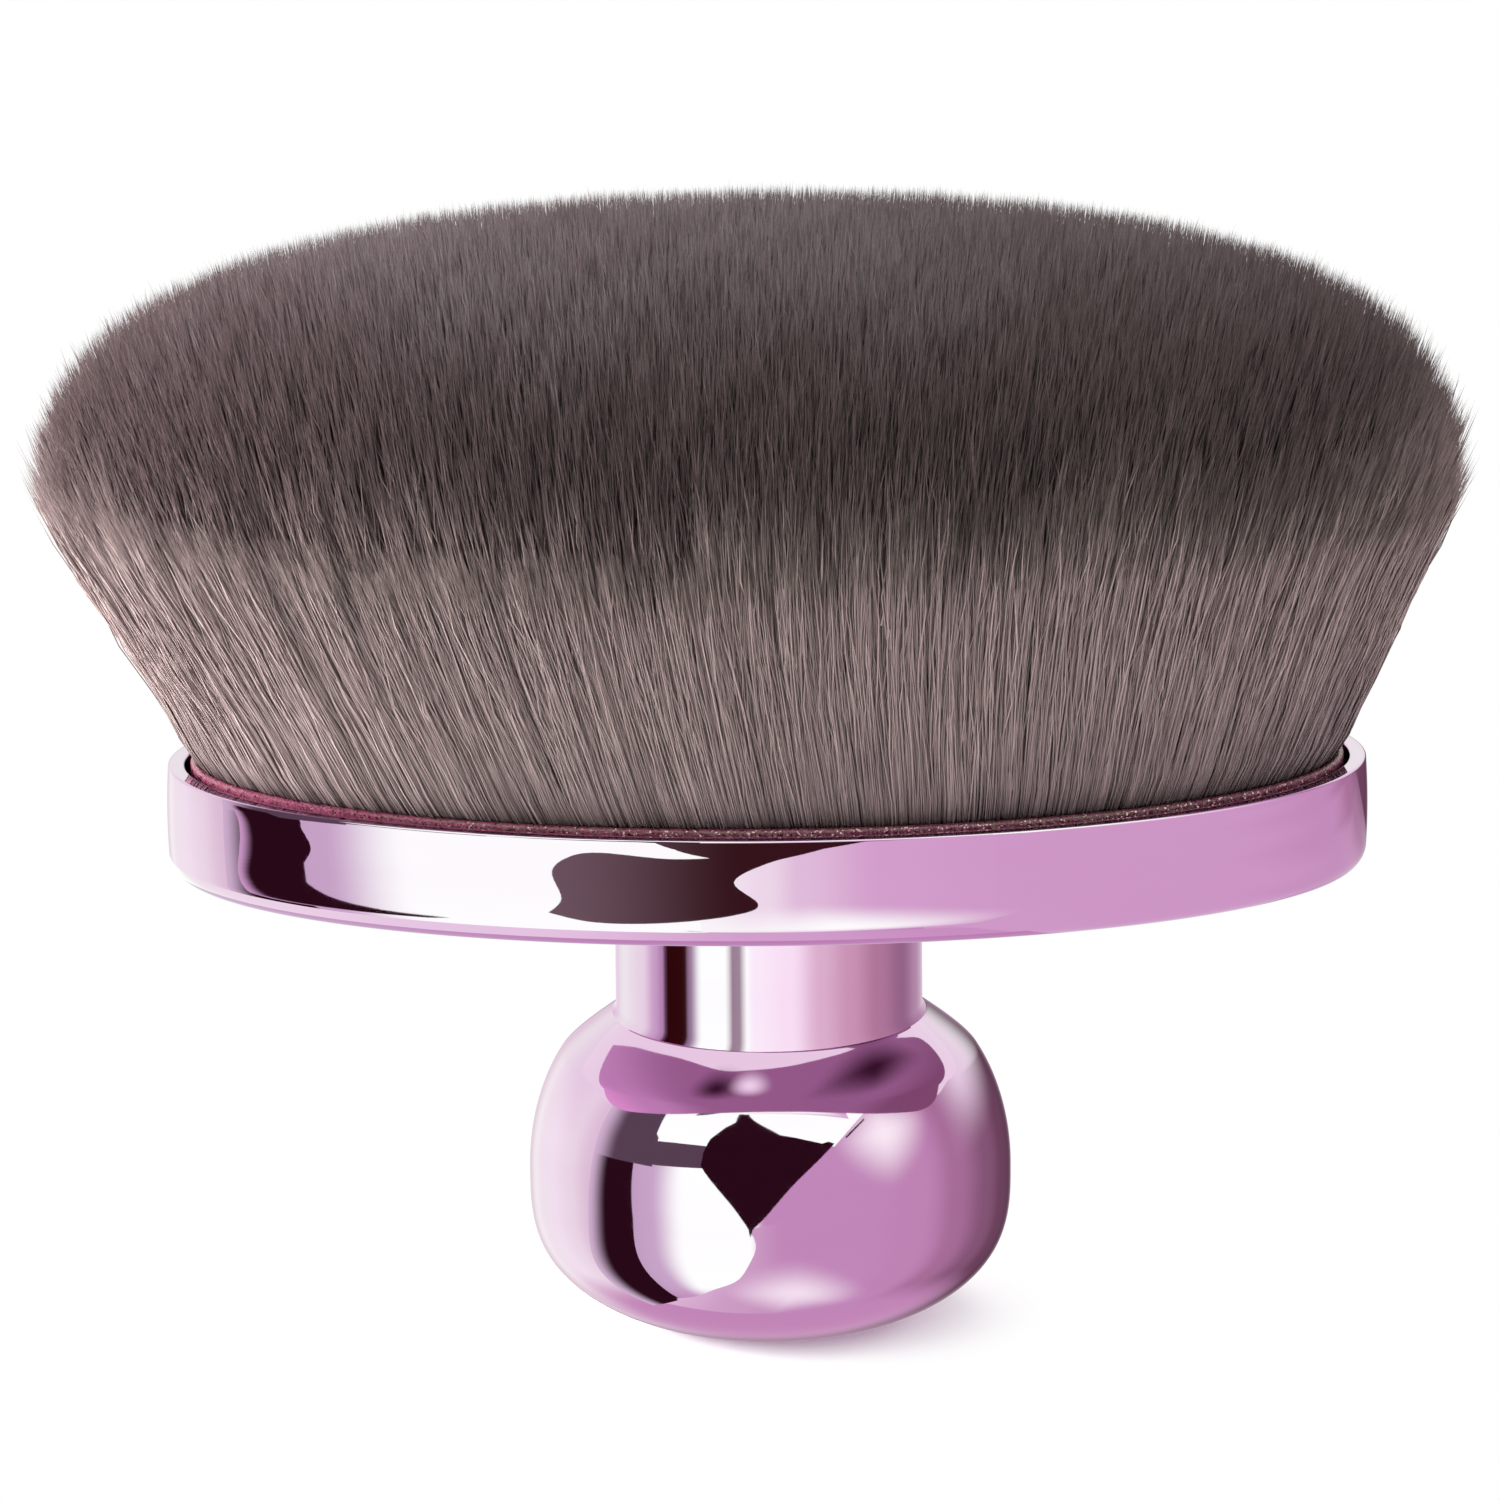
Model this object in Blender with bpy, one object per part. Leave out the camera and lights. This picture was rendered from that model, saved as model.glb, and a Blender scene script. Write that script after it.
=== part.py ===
"""Oval makeup brush that stands upright on a weighted knob handle.

Metres, +Z up. The origin is the centre of the flat base that the brush stands on. X runs along
the long axis of the oval head and Y along its short axis, and the front of the brush faces -Y.

From the bottom up: a turned knob handle with its neck, an oval tray screwed to the neck, a thin
cup inside the tray, a bed of resin in the cup, and a tuft of synthetic bristles that fans out
above the rim and is trimmed to a dome.
"""
import math
from typing import NamedTuple

import bmesh
import bpy

MM = 0.001

# Gap left between two solids that touch on the real brush
SEAT_GAP = 0.3 * MM

# Knob handle, turned in one piece with its neck
KNOB_RADIUS = 12.8 * MM
BASE_RADIUS = 6.1 * MM
EQUATOR_Z = 8.1 * MM
SHOULDER_RISE = 8.3 * MM
NECK_RADIUS = 8.15 * MM
NECK_FILLET = 1.1 * MM
KNOB_SEGMENTS = 44

# Fullness of the knob's curve: along the height, and across the radius
BELLY_FULLNESS = (3.2, 1.3)
SHOULDER_FULLNESS = (1.95, 1.8)

# Straight core of the knob, closed by the base cap, with the steel slug above the cap
CORE_RADIUS = 5.0 * MM
CORE_DEPTH = 11.6 * MM
CAP_THICKNESS = 1.2 * MM
EDGE_BREAK = 0.3 * MM

# Oval tray
HEAD_HALF_LENGTH = 31.75 * MM
HEAD_HALF_WIDTH = 16.6 * MM
TRAY_UNDERSIDE_Z = 24.4 * MM
TRAY_HEIGHT = 6.0 * MM
TRAY_WALL = 0.9 * MM
TRAY_FLOOR = 1.6 * MM
TRAY_FILLET = 1.2 * MM
LIP_BREAK = 0.12 * MM
HEAD_SEGMENTS = 64

# Spigot under the tray, which centres it in the top of the neck
SPIGOT_RADIUS = 5.7 * MM
SPIGOT_DEPTH = 2.4 * MM

# Machine screw that holds the tray, and the brass insert that it turns into
SCREW_RADIUS = 1.25 * MM
SCREW_LENGTH = 6.8 * MM
SCREW_HEAD_RADIUS = 2.7 * MM
SCREW_HEAD_HEIGHT = 1.9 * MM
SCREW_SEAT_WEB = 1.6 * MM
SOCKET_RADIUS = 1.4 * MM
SOCKET_DEPTH = 1.1 * MM
INSERT_RADIUS = 2.9 * MM
INSERT_GROOVE = 0.4 * MM
INSERT_LENGTH = 4.8 * MM

# Thin cup that holds the bristles, with a round bead that stands proud of the tray's lip
CUP_WALL = 0.45 * MM
CUP_FLOOR = 0.8 * MM
CUP_PROUD = 0.35 * MM
RESIN_DEPTH = 0.9 * MM

# Bristle tuft: bonded backing slice, then strands that fan out from it. A strand takes up the
# given share of its cell's width, and the rest is the gap to its neighbours.
BACKING_THICKNESS = 0.8 * MM
BACKING_HALF_LENGTH = HEAD_HALF_LENGTH - 2.35 * MM
BACKING_HALF_WIDTH = HEAD_HALF_WIDTH - 2.35 * MM
STRAND_COLUMNS = 31
STRAND_ROWS = 13
STRAND_SHARE = 0.85
TIP_TAPER = 3.2 * MM
WIDEST_ABOVE_ROOT = 16.4 * MM
DOME_RISE = 14.4 * MM
DOME_FULLNESS = 2.5
FAN_LENGTHWISE = 8.7 * MM
FAN_LEAN = 0.9 * MM
FAN_CROSSWISE = 6.4 * MM
DOME_STEPS = 24

SMOOTH_ANGLE = math.radians(35)


class Ring(NamedTuple):
    """One oval section of a lofted piece: its half length, its half width and its height."""

    half_x: float
    half_y: float
    z: float


class Finish(NamedTuple):
    """Colour (8-bit sRGB, as seen), roughness and metallic value of one material."""

    rgb: tuple
    roughness: float
    metallic: float


FINISHES = {
    "pink_chrome": Finish((221, 160, 210), 0.07, 1.0),
    "mauve_cup": Finish((123, 70, 92), 0.35, 0.5),
    "bristle_fibre": Finish((88, 76, 77), 0.55, 0.0),
    "clear_resin": Finish((196, 188, 176), 0.25, 0.0),
    "zinc_steel": Finish((168, 170, 174), 0.3, 1.0),
    "brass": Finish((196, 160, 92), 0.3, 1.0),
    "cap_plastic": Finish((176, 122, 166), 0.4, 0.0),
}


def linear(channel):
    """Turn one 8-bit sRGB channel into the linear value that a shader takes."""
    share = channel / 255.0
    if share <= 0.04045:
        return share / 12.92
    return ((share + 0.055) / 1.055) ** 2.4


def material(name):
    """Make the named finish once, as a Principled BSDF."""
    found = bpy.data.materials.get(name)
    if found:
        return found
    finish = FINISHES[name]
    colour = (*(linear(channel) for channel in finish.rgb), 1.0)
    made = bpy.data.materials.new(name)
    made.use_nodes = True
    shader = made.node_tree.nodes["Principled BSDF"]
    shader.inputs["Base Color"].default_value = colour
    shader.inputs["Roughness"].default_value = finish.roughness
    shader.inputs["Metallic"].default_value = finish.metallic
    made.diffuse_color = colour
    return made


def add_piece(name, shape, finish):
    """Turn a closed bmesh into a named object with its own material."""
    bmesh.ops.recalc_face_normals(shape, faces=shape.faces)
    mesh = bpy.data.meshes.new(name)
    shape.to_mesh(mesh)
    shape.free()
    mesh.shade_smooth()
    mesh.set_sharp_from_angle(angle=SMOOTH_ANGLE)
    mesh.materials.append(material(finish))
    piece = bpy.data.objects.new(name, mesh)
    bpy.context.scene.collection.objects.link(piece)
    return piece


def loft(rings, segments, through=False):
    """Skin a run of oval rings, each extruded from the last one.

    A piece with a hole through it ends on the ring that it started from. Any other piece is
    closed by a flat face at each end.
    """
    shape = bmesh.new()
    verts = bmesh.ops.create_circle(shape, radius=1.0, segments=segments)["verts"]
    edges = shape.edges[:]
    resize(verts, Ring(1.0, 1.0, 0.0), rings[0])
    steps = list(zip(rings, rings[1:]))
    if through:
        steps.append((rings[-1], rings[0]))
    for ring, following in steps:
        geometry = bmesh.ops.extrude_edge_only(shape, edges=edges)["geom"]
        verts = [item for item in geometry if isinstance(item, bmesh.types.BMVert)]
        edges = [item for item in geometry if isinstance(item, bmesh.types.BMEdge)]
        resize(verts, ring, following)
    if through:
        bmesh.ops.remove_doubles(shape, verts=shape.verts, dist=0.001 * MM)
    else:
        bmesh.ops.holes_fill(shape, edges=shape.edges)
    return shape


def resize(verts, ring, following):
    """Move the vertices of one ring onto the next one."""
    for vert in verts:
        vert.co.x *= following.half_x / ring.half_x
        vert.co.y *= following.half_y / ring.half_y
        vert.co.z = following.z


def round_ring(radius, z):
    """A ring of a turned piece."""
    return Ring(radius, radius, z)


def head_ring(inset, z):
    """A ring of the oval head, drawn in from the tray's outer edge."""
    return Ring(HEAD_HALF_LENGTH - inset, HEAD_HALF_WIDTH - inset, z)


def head_arc(inset, z, radius, start, end, steps):
    """Rings round a corner of the head; 0 degrees points outwards and 90 degrees up."""
    rings = []
    for step in range(steps + 1):
        angle = math.radians(start + (end - start) * step / steps)
        rings.append(head_ring(inset - radius * math.cos(angle), z + radius * math.sin(angle)))
    return rings


def swell(inner, outer, share, fullness):
    """Radius of the knob where its height is this share of the way from equator to end."""
    along, across = fullness
    return inner + (outer - inner) * (1.0 - share ** along) ** (1.0 / across)


def knob_profile():
    """Rings up the outside of the knob, from its flat base to the foot of the neck."""
    belly = []
    for degrees in range(90, 0, -10):
        share = math.sin(math.radians(degrees))
        radius = swell(BASE_RADIUS, KNOB_RADIUS, share, BELLY_FULLNESS)
        belly.append(round_ring(radius, EQUATOR_Z * (1.0 - share)))
    shoulder = []
    for degrees in range(0, 69, 11):
        share = math.sin(math.radians(degrees))
        radius = swell(NECK_RADIUS, KNOB_RADIUS, share, SHOULDER_FULLNESS)
        shoulder.append(round_ring(radius, EQUATOR_Z + SHOULDER_RISE * share))
    shoulder.append(round_ring(NECK_RADIUS, EQUATOR_Z + SHOULDER_RISE))
    return belly + shoulder


def make_handle_knob():
    """Knob and neck, with a core for the weight below and a socket for the tray above."""
    neck_top = TRAY_UNDERSIDE_Z - SEAT_GAP
    socket_floor = TRAY_UNDERSIDE_Z - SPIGOT_DEPTH - SEAT_GAP
    pocket_floor = socket_floor - INSERT_LENGTH - 2.0 * SEAT_GAP
    socket = SPIGOT_RADIUS + SEAT_GAP
    pocket = INSERT_RADIUS + SEAT_GAP
    air_hole = SCREW_RADIUS + SEAT_GAP
    rings = knob_profile() + [
        round_ring(NECK_RADIUS, neck_top - EDGE_BREAK),
        round_ring(NECK_RADIUS - EDGE_BREAK, neck_top),
        round_ring(socket, neck_top),
        round_ring(socket, socket_floor),
        round_ring(pocket, socket_floor),
        round_ring(pocket, pocket_floor),
        round_ring(air_hole, pocket_floor),
        round_ring(air_hole, CORE_DEPTH),
        round_ring(CORE_RADIUS, CORE_DEPTH),
        round_ring(CORE_RADIUS, 0.0),
    ]
    shape = loft(rings, KNOB_SEGMENTS, through=True)
    foot_z = EQUATOR_Z + SHOULDER_RISE
    foot_of_neck = [
        edge for edge in shape.edges
        if all(is_at(vert, NECK_RADIUS, foot_z) for vert in edge.verts)
    ]
    bmesh.ops.bevel(
        shape,
        geom=foot_of_neck,
        offset=NECK_FILLET,
        offset_type="OFFSET",
        segments=5,
        profile=0.5,
        affect="EDGES",
        material=-1,
    )
    return add_piece("handle_knob", shape, "pink_chrome")


def is_at(vert, radius, z):
    """Tell whether a vertex of a turned piece lies on the given ring."""
    near = 0.01 * MM
    return abs(math.hypot(vert.co.x, vert.co.y) - radius) < near and abs(vert.co.z - z) < near


def make_disc(name, radius, bottom, top, finish):
    """A turned disc or slug with both edges broken."""
    rings = [
        round_ring(radius - EDGE_BREAK, bottom),
        round_ring(radius, bottom + EDGE_BREAK),
        round_ring(radius, top - EDGE_BREAK),
        round_ring(radius - EDGE_BREAK, top),
    ]
    return add_piece(name, loft(rings, KNOB_SEGMENTS), finish)


def make_threaded_insert():
    """Brass insert in the neck: two knurled collars with a groove between them."""
    top = TRAY_UNDERSIDE_Z - SPIGOT_DEPTH - 2.0 * SEAT_GAP
    bottom = top - INSERT_LENGTH
    collar = INSERT_LENGTH * 0.35
    bore = SCREW_RADIUS + SEAT_GAP
    waist = INSERT_RADIUS - INSERT_GROOVE
    rings = [
        round_ring(bore, bottom),
        round_ring(INSERT_RADIUS - EDGE_BREAK, bottom),
        round_ring(INSERT_RADIUS, bottom + EDGE_BREAK),
        round_ring(INSERT_RADIUS, bottom + collar),
        round_ring(waist, bottom + collar),
        round_ring(waist, top - collar),
        round_ring(INSERT_RADIUS, top - collar),
        round_ring(INSERT_RADIUS, top),
        round_ring(bore, top),
    ]
    return add_piece("threaded_insert", loft(rings, 24, through=True), "brass")


def screw_seat_z():
    """Height of the step in the tray that the screw's head bears on."""
    return TRAY_UNDERSIDE_Z - SPIGOT_DEPTH + SCREW_SEAT_WEB


def make_tray_screw():
    """Cheese-head screw with a hexagon socket, from the tray down into the insert."""
    head_bottom = screw_seat_z() + SEAT_GAP
    head_top = head_bottom + SCREW_HEAD_HEIGHT
    tip = head_bottom - SCREW_LENGTH
    rings = [
        round_ring(SCREW_RADIUS - EDGE_BREAK, tip),
        round_ring(SCREW_RADIUS, tip + EDGE_BREAK),
        round_ring(SCREW_RADIUS, head_bottom),
        round_ring(SCREW_HEAD_RADIUS, head_bottom),
        round_ring(SCREW_HEAD_RADIUS, head_top - EDGE_BREAK),
        round_ring(SCREW_HEAD_RADIUS - EDGE_BREAK, head_top),
    ]
    screw = add_piece("tray_screw", loft(rings, 24), "zinc_steel")
    cutter_rings = [
        round_ring(SOCKET_RADIUS, head_top - SOCKET_DEPTH),
        round_ring(SOCKET_RADIUS, head_top + SOCKET_DEPTH),
    ]
    cutter = add_piece("hex_socket_cutter", loft(cutter_rings, 6), "zinc_steel")
    cutter.hide_render = True
    cutter.display_type = "WIRE"
    cut = screw.modifiers.new("hex_socket", "BOOLEAN")
    cut.operation = "DIFFERENCE"
    cut.solver = "EXACT"
    cut.object = cutter
    return screw


def make_rim_tray():
    """Oval tray: wall, rounded bottom edge, floor, and the spigot with its screw seat."""
    rim = TRAY_UNDERSIDE_Z + TRAY_HEIGHT
    floor = TRAY_UNDERSIDE_Z + TRAY_FLOOR
    spigot_bottom = TRAY_UNDERSIDE_Z - SPIGOT_DEPTH
    hole = SCREW_RADIUS + SEAT_GAP
    seat = SCREW_HEAD_RADIUS + SEAT_GAP
    corner = head_arc(TRAY_FILLET, TRAY_UNDERSIDE_Z + TRAY_FILLET, TRAY_FILLET, -90, 0, 4)
    rings = corner + [
        head_ring(0.0, rim - LIP_BREAK),
        head_ring(LIP_BREAK, rim),
        head_ring(TRAY_WALL - LIP_BREAK, rim),
        head_ring(TRAY_WALL, rim - LIP_BREAK),
        head_ring(TRAY_WALL, floor + EDGE_BREAK),
        head_ring(TRAY_WALL + EDGE_BREAK, floor),
        round_ring(seat, floor),
        round_ring(seat, screw_seat_z()),
        round_ring(hole, screw_seat_z()),
        round_ring(hole, spigot_bottom),
        round_ring(SPIGOT_RADIUS, spigot_bottom),
        round_ring(SPIGOT_RADIUS, TRAY_UNDERSIDE_Z),
    ]
    return add_piece("rim_tray", loft(rings, HEAD_SEGMENTS, through=True), "pink_chrome")


def cup_bottom_z():
    """Underside of the bristle cup, which sits on the floor of the tray."""
    return TRAY_UNDERSIDE_Z + TRAY_FLOOR + SEAT_GAP


def make_bristle_cup():
    """Thin oval cup inside the tray, its wall rounded over into a bead at the top."""
    bottom = cup_bottom_z()
    outer = TRAY_WALL + SEAT_GAP
    inner = outer + CUP_WALL
    bead = CUP_WALL / 2.0
    bead_z = TRAY_UNDERSIDE_Z + TRAY_HEIGHT + CUP_PROUD - bead
    rings = [
        head_ring(outer + EDGE_BREAK, bottom),
        head_ring(outer, bottom + EDGE_BREAK),
        *head_arc(outer + bead, bead_z, bead, 0, 180, 4),
        head_ring(inner, bottom + CUP_FLOOR),
    ]
    return add_piece("bristle_cup", loft(rings, HEAD_SEGMENTS), "mauve_cup")


def make_root_resin():
    """Bed of set resin on the floor of the cup, which the bristle roots stand in."""
    inset = TRAY_WALL + CUP_WALL + 2.0 * SEAT_GAP
    bottom = cup_bottom_z() + CUP_FLOOR + SEAT_GAP
    rings = [head_ring(inset, bottom), head_ring(inset, bottom + RESIN_DEPTH)]
    return add_piece("root_resin", loft(rings, HEAD_SEGMENTS), "clear_resin")


def backing_bottom_z():
    """Underside of the tuft's bonded backing, which sits on the resin."""
    return cup_bottom_z() + CUP_FLOOR + RESIN_DEPTH + 2.0 * SEAT_GAP


def fan_out(x, y, rise):
    """Where the fibre rooted at this point of the backing has got to, this high above its root.

    Each fibre is straight and leans by its distance from the middle, so no two of them cross.
    The tuft fans out both ways, and further at its -X end than at its +X end.
    """
    along = x / BACKING_HALF_LENGTH
    across = y / BACKING_HALF_WIDTH
    share = rise / WIDEST_ABOVE_ROOT
    return (
        x + share * (FAN_LENGTHWISE * along - FAN_LEAN * along * along),
        y + share * FAN_CROSSWISE * across,
    )


def tip_rise(x, y):
    """Height above its root at which a fibre meets the trimmed dome, found by closing in on it."""
    rise = WIDEST_ABOVE_ROOT
    for _ in range(DOME_STEPS):
        at_x, at_y = fan_out(x, y, rise)
        half_length = BACKING_HALF_LENGTH + FAN_LENGTHWISE - math.copysign(FAN_LEAN, at_x)
        half_width = BACKING_HALF_WIDTH + FAN_CROSSWISE
        from_middle = min(math.hypot(at_x / half_length, at_y / half_width), 1.0)
        dome = (1.0 - from_middle ** DOME_FULLNESS) ** (1.0 / DOME_FULLNESS)
        rise = (rise + WIDEST_ABOVE_ROOT + DOME_RISE * dome) / 2.0
    return rise


def make_backing():
    """Bonded slice at the roots: a grid of cells bent into the oval, then given its thickness."""
    shape = bmesh.new()
    bmesh.ops.create_grid(shape, x_segments=STRAND_COLUMNS, y_segments=STRAND_ROWS, size=1.0)
    top = backing_bottom_z() + BACKING_THICKNESS
    for vert in shape.verts:
        x, y = vert.co.x, vert.co.y
        vert.co.x = BACKING_HALF_LENGTH * x * math.sqrt(1.0 - y * y / 2.0)
        vert.co.y = BACKING_HALF_WIDTH * y * math.sqrt(1.0 - x * x / 2.0)
        vert.co.z = top
    cells = shape.faces[:]
    edge_loop = [edge for edge in shape.edges if edge.is_boundary]
    geometry = bmesh.ops.extrude_edge_only(shape, edges=edge_loop)["geom"]
    for item in geometry:
        if isinstance(item, bmesh.types.BMVert):
            item.co.z = backing_bottom_z()
    bmesh.ops.holes_fill(shape, edges=[edge for edge in shape.edges if edge.is_boundary])
    bmesh.ops.recalc_face_normals(shape, faces=shape.faces)
    return shape, cells


def raise_strand(shape, root):
    """Draw one four-sided strand up from its root face: a straight run, then a tapered end."""
    centre = root.calc_center_median()
    for vert in root.verts:
        vert.co = centre.lerp(vert.co, STRAND_SHARE)
    rise = tip_rise(centre.x, centre.y)
    straight = rise - TIP_TAPER
    end = bmesh.ops.extrude_discrete_faces(shape, faces=[root])["faces"][0]
    for vert in end.verts:
        vert.co = (*fan_out(vert.co.x, vert.co.y, straight), centre.z + straight)
    tip = bmesh.ops.poke(shape, faces=[end])["verts"][0]
    tip.co = (*fan_out(centre.x, centre.y, rise), centre.z + rise)


def make_bristle_tuft():
    """Strands fused to their backing, fanned out from the rim and trimmed to a dome."""
    shape, cells = make_backing()
    bmesh.ops.inset_individual(shape, faces=cells, thickness=0.0)
    for root in cells:
        raise_strand(shape, root)
    return add_piece("bristle_tuft", shape, "bristle_fibre")


def clear_scene():
    """Remove whatever the scene holds before the brush is made."""
    for item in list(bpy.data.objects):
        bpy.data.objects.remove(item, do_unlink=True)


def main():
    """Make the brush from the base up."""
    clear_scene()
    cap_radius = CORE_RADIUS - SEAT_GAP
    make_disc("base_cap", cap_radius, 0.0, CAP_THICKNESS, "cap_plastic")
    make_disc("weight_slug", cap_radius, CAP_THICKNESS + SEAT_GAP, CORE_DEPTH - SEAT_GAP, "zinc_steel")
    make_handle_knob()
    make_threaded_insert()
    make_tray_screw()
    make_rim_tray()
    make_bristle_cup()
    make_root_resin()
    make_bristle_tuft()


main()
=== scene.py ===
"""Looks of an oval makeup brush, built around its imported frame.

Metres, +Z up, the front of the brush faces -Y. The origin is the centre of the knob's flat base.
A plated knob carries an oval plated tray. A thin mauve cup in the tray holds a dense tuft of
two-tone fibres, which fans out above the rim and is trimmed to a dome.
"""
import logging
import math
from dataclasses import dataclass, field
from enum import Enum

import bmesh
import bpy
import numpy as np
from mathutils import Matrix, Vector
from mathutils.geometry import interpolate_bezier


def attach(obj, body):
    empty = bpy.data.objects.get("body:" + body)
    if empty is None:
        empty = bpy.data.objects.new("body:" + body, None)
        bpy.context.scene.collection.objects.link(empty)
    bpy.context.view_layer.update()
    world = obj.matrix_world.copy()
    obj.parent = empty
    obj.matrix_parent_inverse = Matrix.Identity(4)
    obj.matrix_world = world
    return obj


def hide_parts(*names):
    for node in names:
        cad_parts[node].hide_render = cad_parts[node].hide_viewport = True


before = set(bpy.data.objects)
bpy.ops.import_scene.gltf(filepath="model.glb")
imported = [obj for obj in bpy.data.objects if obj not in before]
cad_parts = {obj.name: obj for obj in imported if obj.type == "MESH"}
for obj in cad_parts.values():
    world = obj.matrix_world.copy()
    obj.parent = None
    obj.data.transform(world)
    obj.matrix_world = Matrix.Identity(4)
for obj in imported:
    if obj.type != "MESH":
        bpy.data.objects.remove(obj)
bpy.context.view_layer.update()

MM = 0.001
MAP_NAME = "OFBake"
MAP_COLUMNS = 256
MAP_SIDES = (0.2, 0.5, 0.8)
SMOOTH_ANGLE = math.radians(38)
MERGE_DISTANCE = 0.001 * MM

# From the cell of a clump of fibres to its number, and from the number to the clump's drift
CLUMP_STEPS = (92821, 68917)
CLUMP_NUMBERS = 9973
CLUMP_WAVES = (12.9898, 78.233, 37.719)
CLUMP_DRIFT = 0.35

log = logging.getLogger("makeup_brush")


def linear(red: float, green: float, blue: float) -> tuple[float, float, float, float]:
    """Turns an 8-bit colour, as seen, into the linear one that a shader takes.

    Args:
        red: Red from 0 to 255.
        green: Green from 0 to 255.
        blue: Blue from 0 to 255.

    Returns:
        Linear red, green and blue, with full opacity.
    """
    def one(channel: float) -> float:
        """Turns one channel."""
        share = channel / 255.0
        return share / 12.92 if share <= 0.04045 else ((share + 0.055) / 1.055) ** 2.4

    return one(red), one(green), one(blue), 1.0


# Shader graphs


class Graph:
    """A node tree that is being wired, with short calls for its nodes and links."""

    def __init__(self, tree: bpy.types.NodeTree) -> None:
        """Starts from an empty tree.

        Args:
            tree: Node tree of a material, world or group.
        """
        self.tree = tree
        tree.nodes.clear()

    def add(self, kind: str, inputs: dict | None = None, **settings: object) -> bpy.types.Node:
        """Adds a node.

        Args:
            kind: Type name of the node.
            inputs: Values, or output sockets to link, by the input's name or number.
            settings: The node's own properties.

        Returns:
            The new node.
        """
        node = self.tree.nodes.new(kind)
        for name, value in settings.items():
            setattr(node, name, value)
        for key, value in (inputs or {}).items():
            if isinstance(value, bpy.types.NodeSocket):
                self.tree.links.new(value, node.inputs[key])
            else:
                node.inputs[key].default_value = value
        return node

    def math(self, operation: str, *values: object) -> bpy.types.NodeSocket:
        """Adds a Math node with its numbers or sockets in order, and gives its output."""
        return self.add("ShaderNodeMath", dict(enumerate(values)), operation=operation).outputs[0]

    def vector(self, operation: str, *values: object) -> bpy.types.NodeSocket:
        """Adds a Vector Math node with its vectors in order, and gives its vector."""
        inputs = dict(enumerate(values))
        return self.add("ShaderNodeVectorMath", inputs, operation=operation).outputs[0]

    def remap(self, value: object, low: float, high: float, to_low: object = 0.0,
              to_high: object = 1.0) -> bpy.types.NodeSocket:
        """Maps a value smoothly from one range to another, and gives the mapped value."""
        inputs = {0: value, 1: low, 2: high, 3: to_low, 4: to_high}
        return self.add("ShaderNodeMapRange", inputs, interpolation_type="SMOOTHSTEP").outputs[0]

    def mix(self, share: object, first: object, second: object,
            blend: str = "MIX") -> bpy.types.NodeSocket:
        """Mixes two colours by the share of the second, and gives the mixed colour."""
        inputs = {0: share, 6: first, 7: second}
        return self.add("ShaderNodeMix", inputs, data_type="RGBA", blend_type=blend).outputs[2]

    def mix_light(self, share: object, first: bpy.types.NodeSocket,
                  second: bpy.types.NodeSocket) -> bpy.types.NodeSocket:
        """Mixes two shaders by the share of the second, and gives the mixed shader."""
        return self.add("ShaderNodeMixShader", {0: share, 1: first, 2: second}).outputs[0]


class Kind(Enum):
    """Socket types of the shared groups."""

    VALUE = "NodeSocketFloat"
    TONE = "NodeSocketColor"
    VECTOR = "NodeSocketVector"


@dataclass(frozen=True)
class SharedGroup:
    """A node group that the finishes share.

    Attributes:
        name: Name of the group.
        inputs: Names and types of its inputs.
        outputs: Names and types of its outputs.
    """

    name: str
    inputs: dict
    outputs: dict

    def tree(self) -> bpy.types.NodeTree:
        """Makes the group, or finds it if it is made.

        Returns:
            The group.
        """
        found = bpy.data.node_groups.get(self.name)
        if found:
            return found
        made = bpy.data.node_groups.new(self.name, "ShaderNodeTree")
        graph = Graph(made)
        for sockets, way in ((self.inputs, "INPUT"), (self.outputs, "OUTPUT")):
            for label, kind in sockets.items():
                made.interface.new_socket(label, in_out=way, socket_type=kind.value)
        graph.add("NodeGroupOutput", self.wire(graph, graph.add("NodeGroupInput").outputs))
        return made

    def place(self, graph: Graph, inputs: dict) -> bpy.types.bpy_prop_collection:
        """Places the group in a graph with its values and links, and gives its outputs."""
        return graph.add("ShaderNodeGroup", inputs, node_tree=self.tree()).outputs

    def wire(self, graph: Graph, given: bpy.types.bpy_prop_collection) -> dict:
        """Wires the group from its inputs, and gives its outputs by name."""
        raise NotImplementedError


class Mottle(SharedGroup):
    """Soft clouding between two tones."""

    def wire(self, graph: Graph, given: bpy.types.bpy_prop_collection) -> dict:
        """Wires the clouds.

        Args:
            graph: The group's graph.
            given: Its inputs.

        Returns:
            Its outputs by name.
        """
        spread = graph.vector("MULTIPLY", given["Vector"], given["Stretch"])
        cloud = graph.add("ShaderNodeTexNoise", {"Vector": spread, "Scale": given["Scale"],
                                                 "Detail": 4.0, "Roughness": 0.55}).outputs[0]
        mask = graph.remap(cloud, 0.32, 0.68)
        return {"Tone": graph.mix(mask, given["Tone A"], given["Tone B"])}


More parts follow.
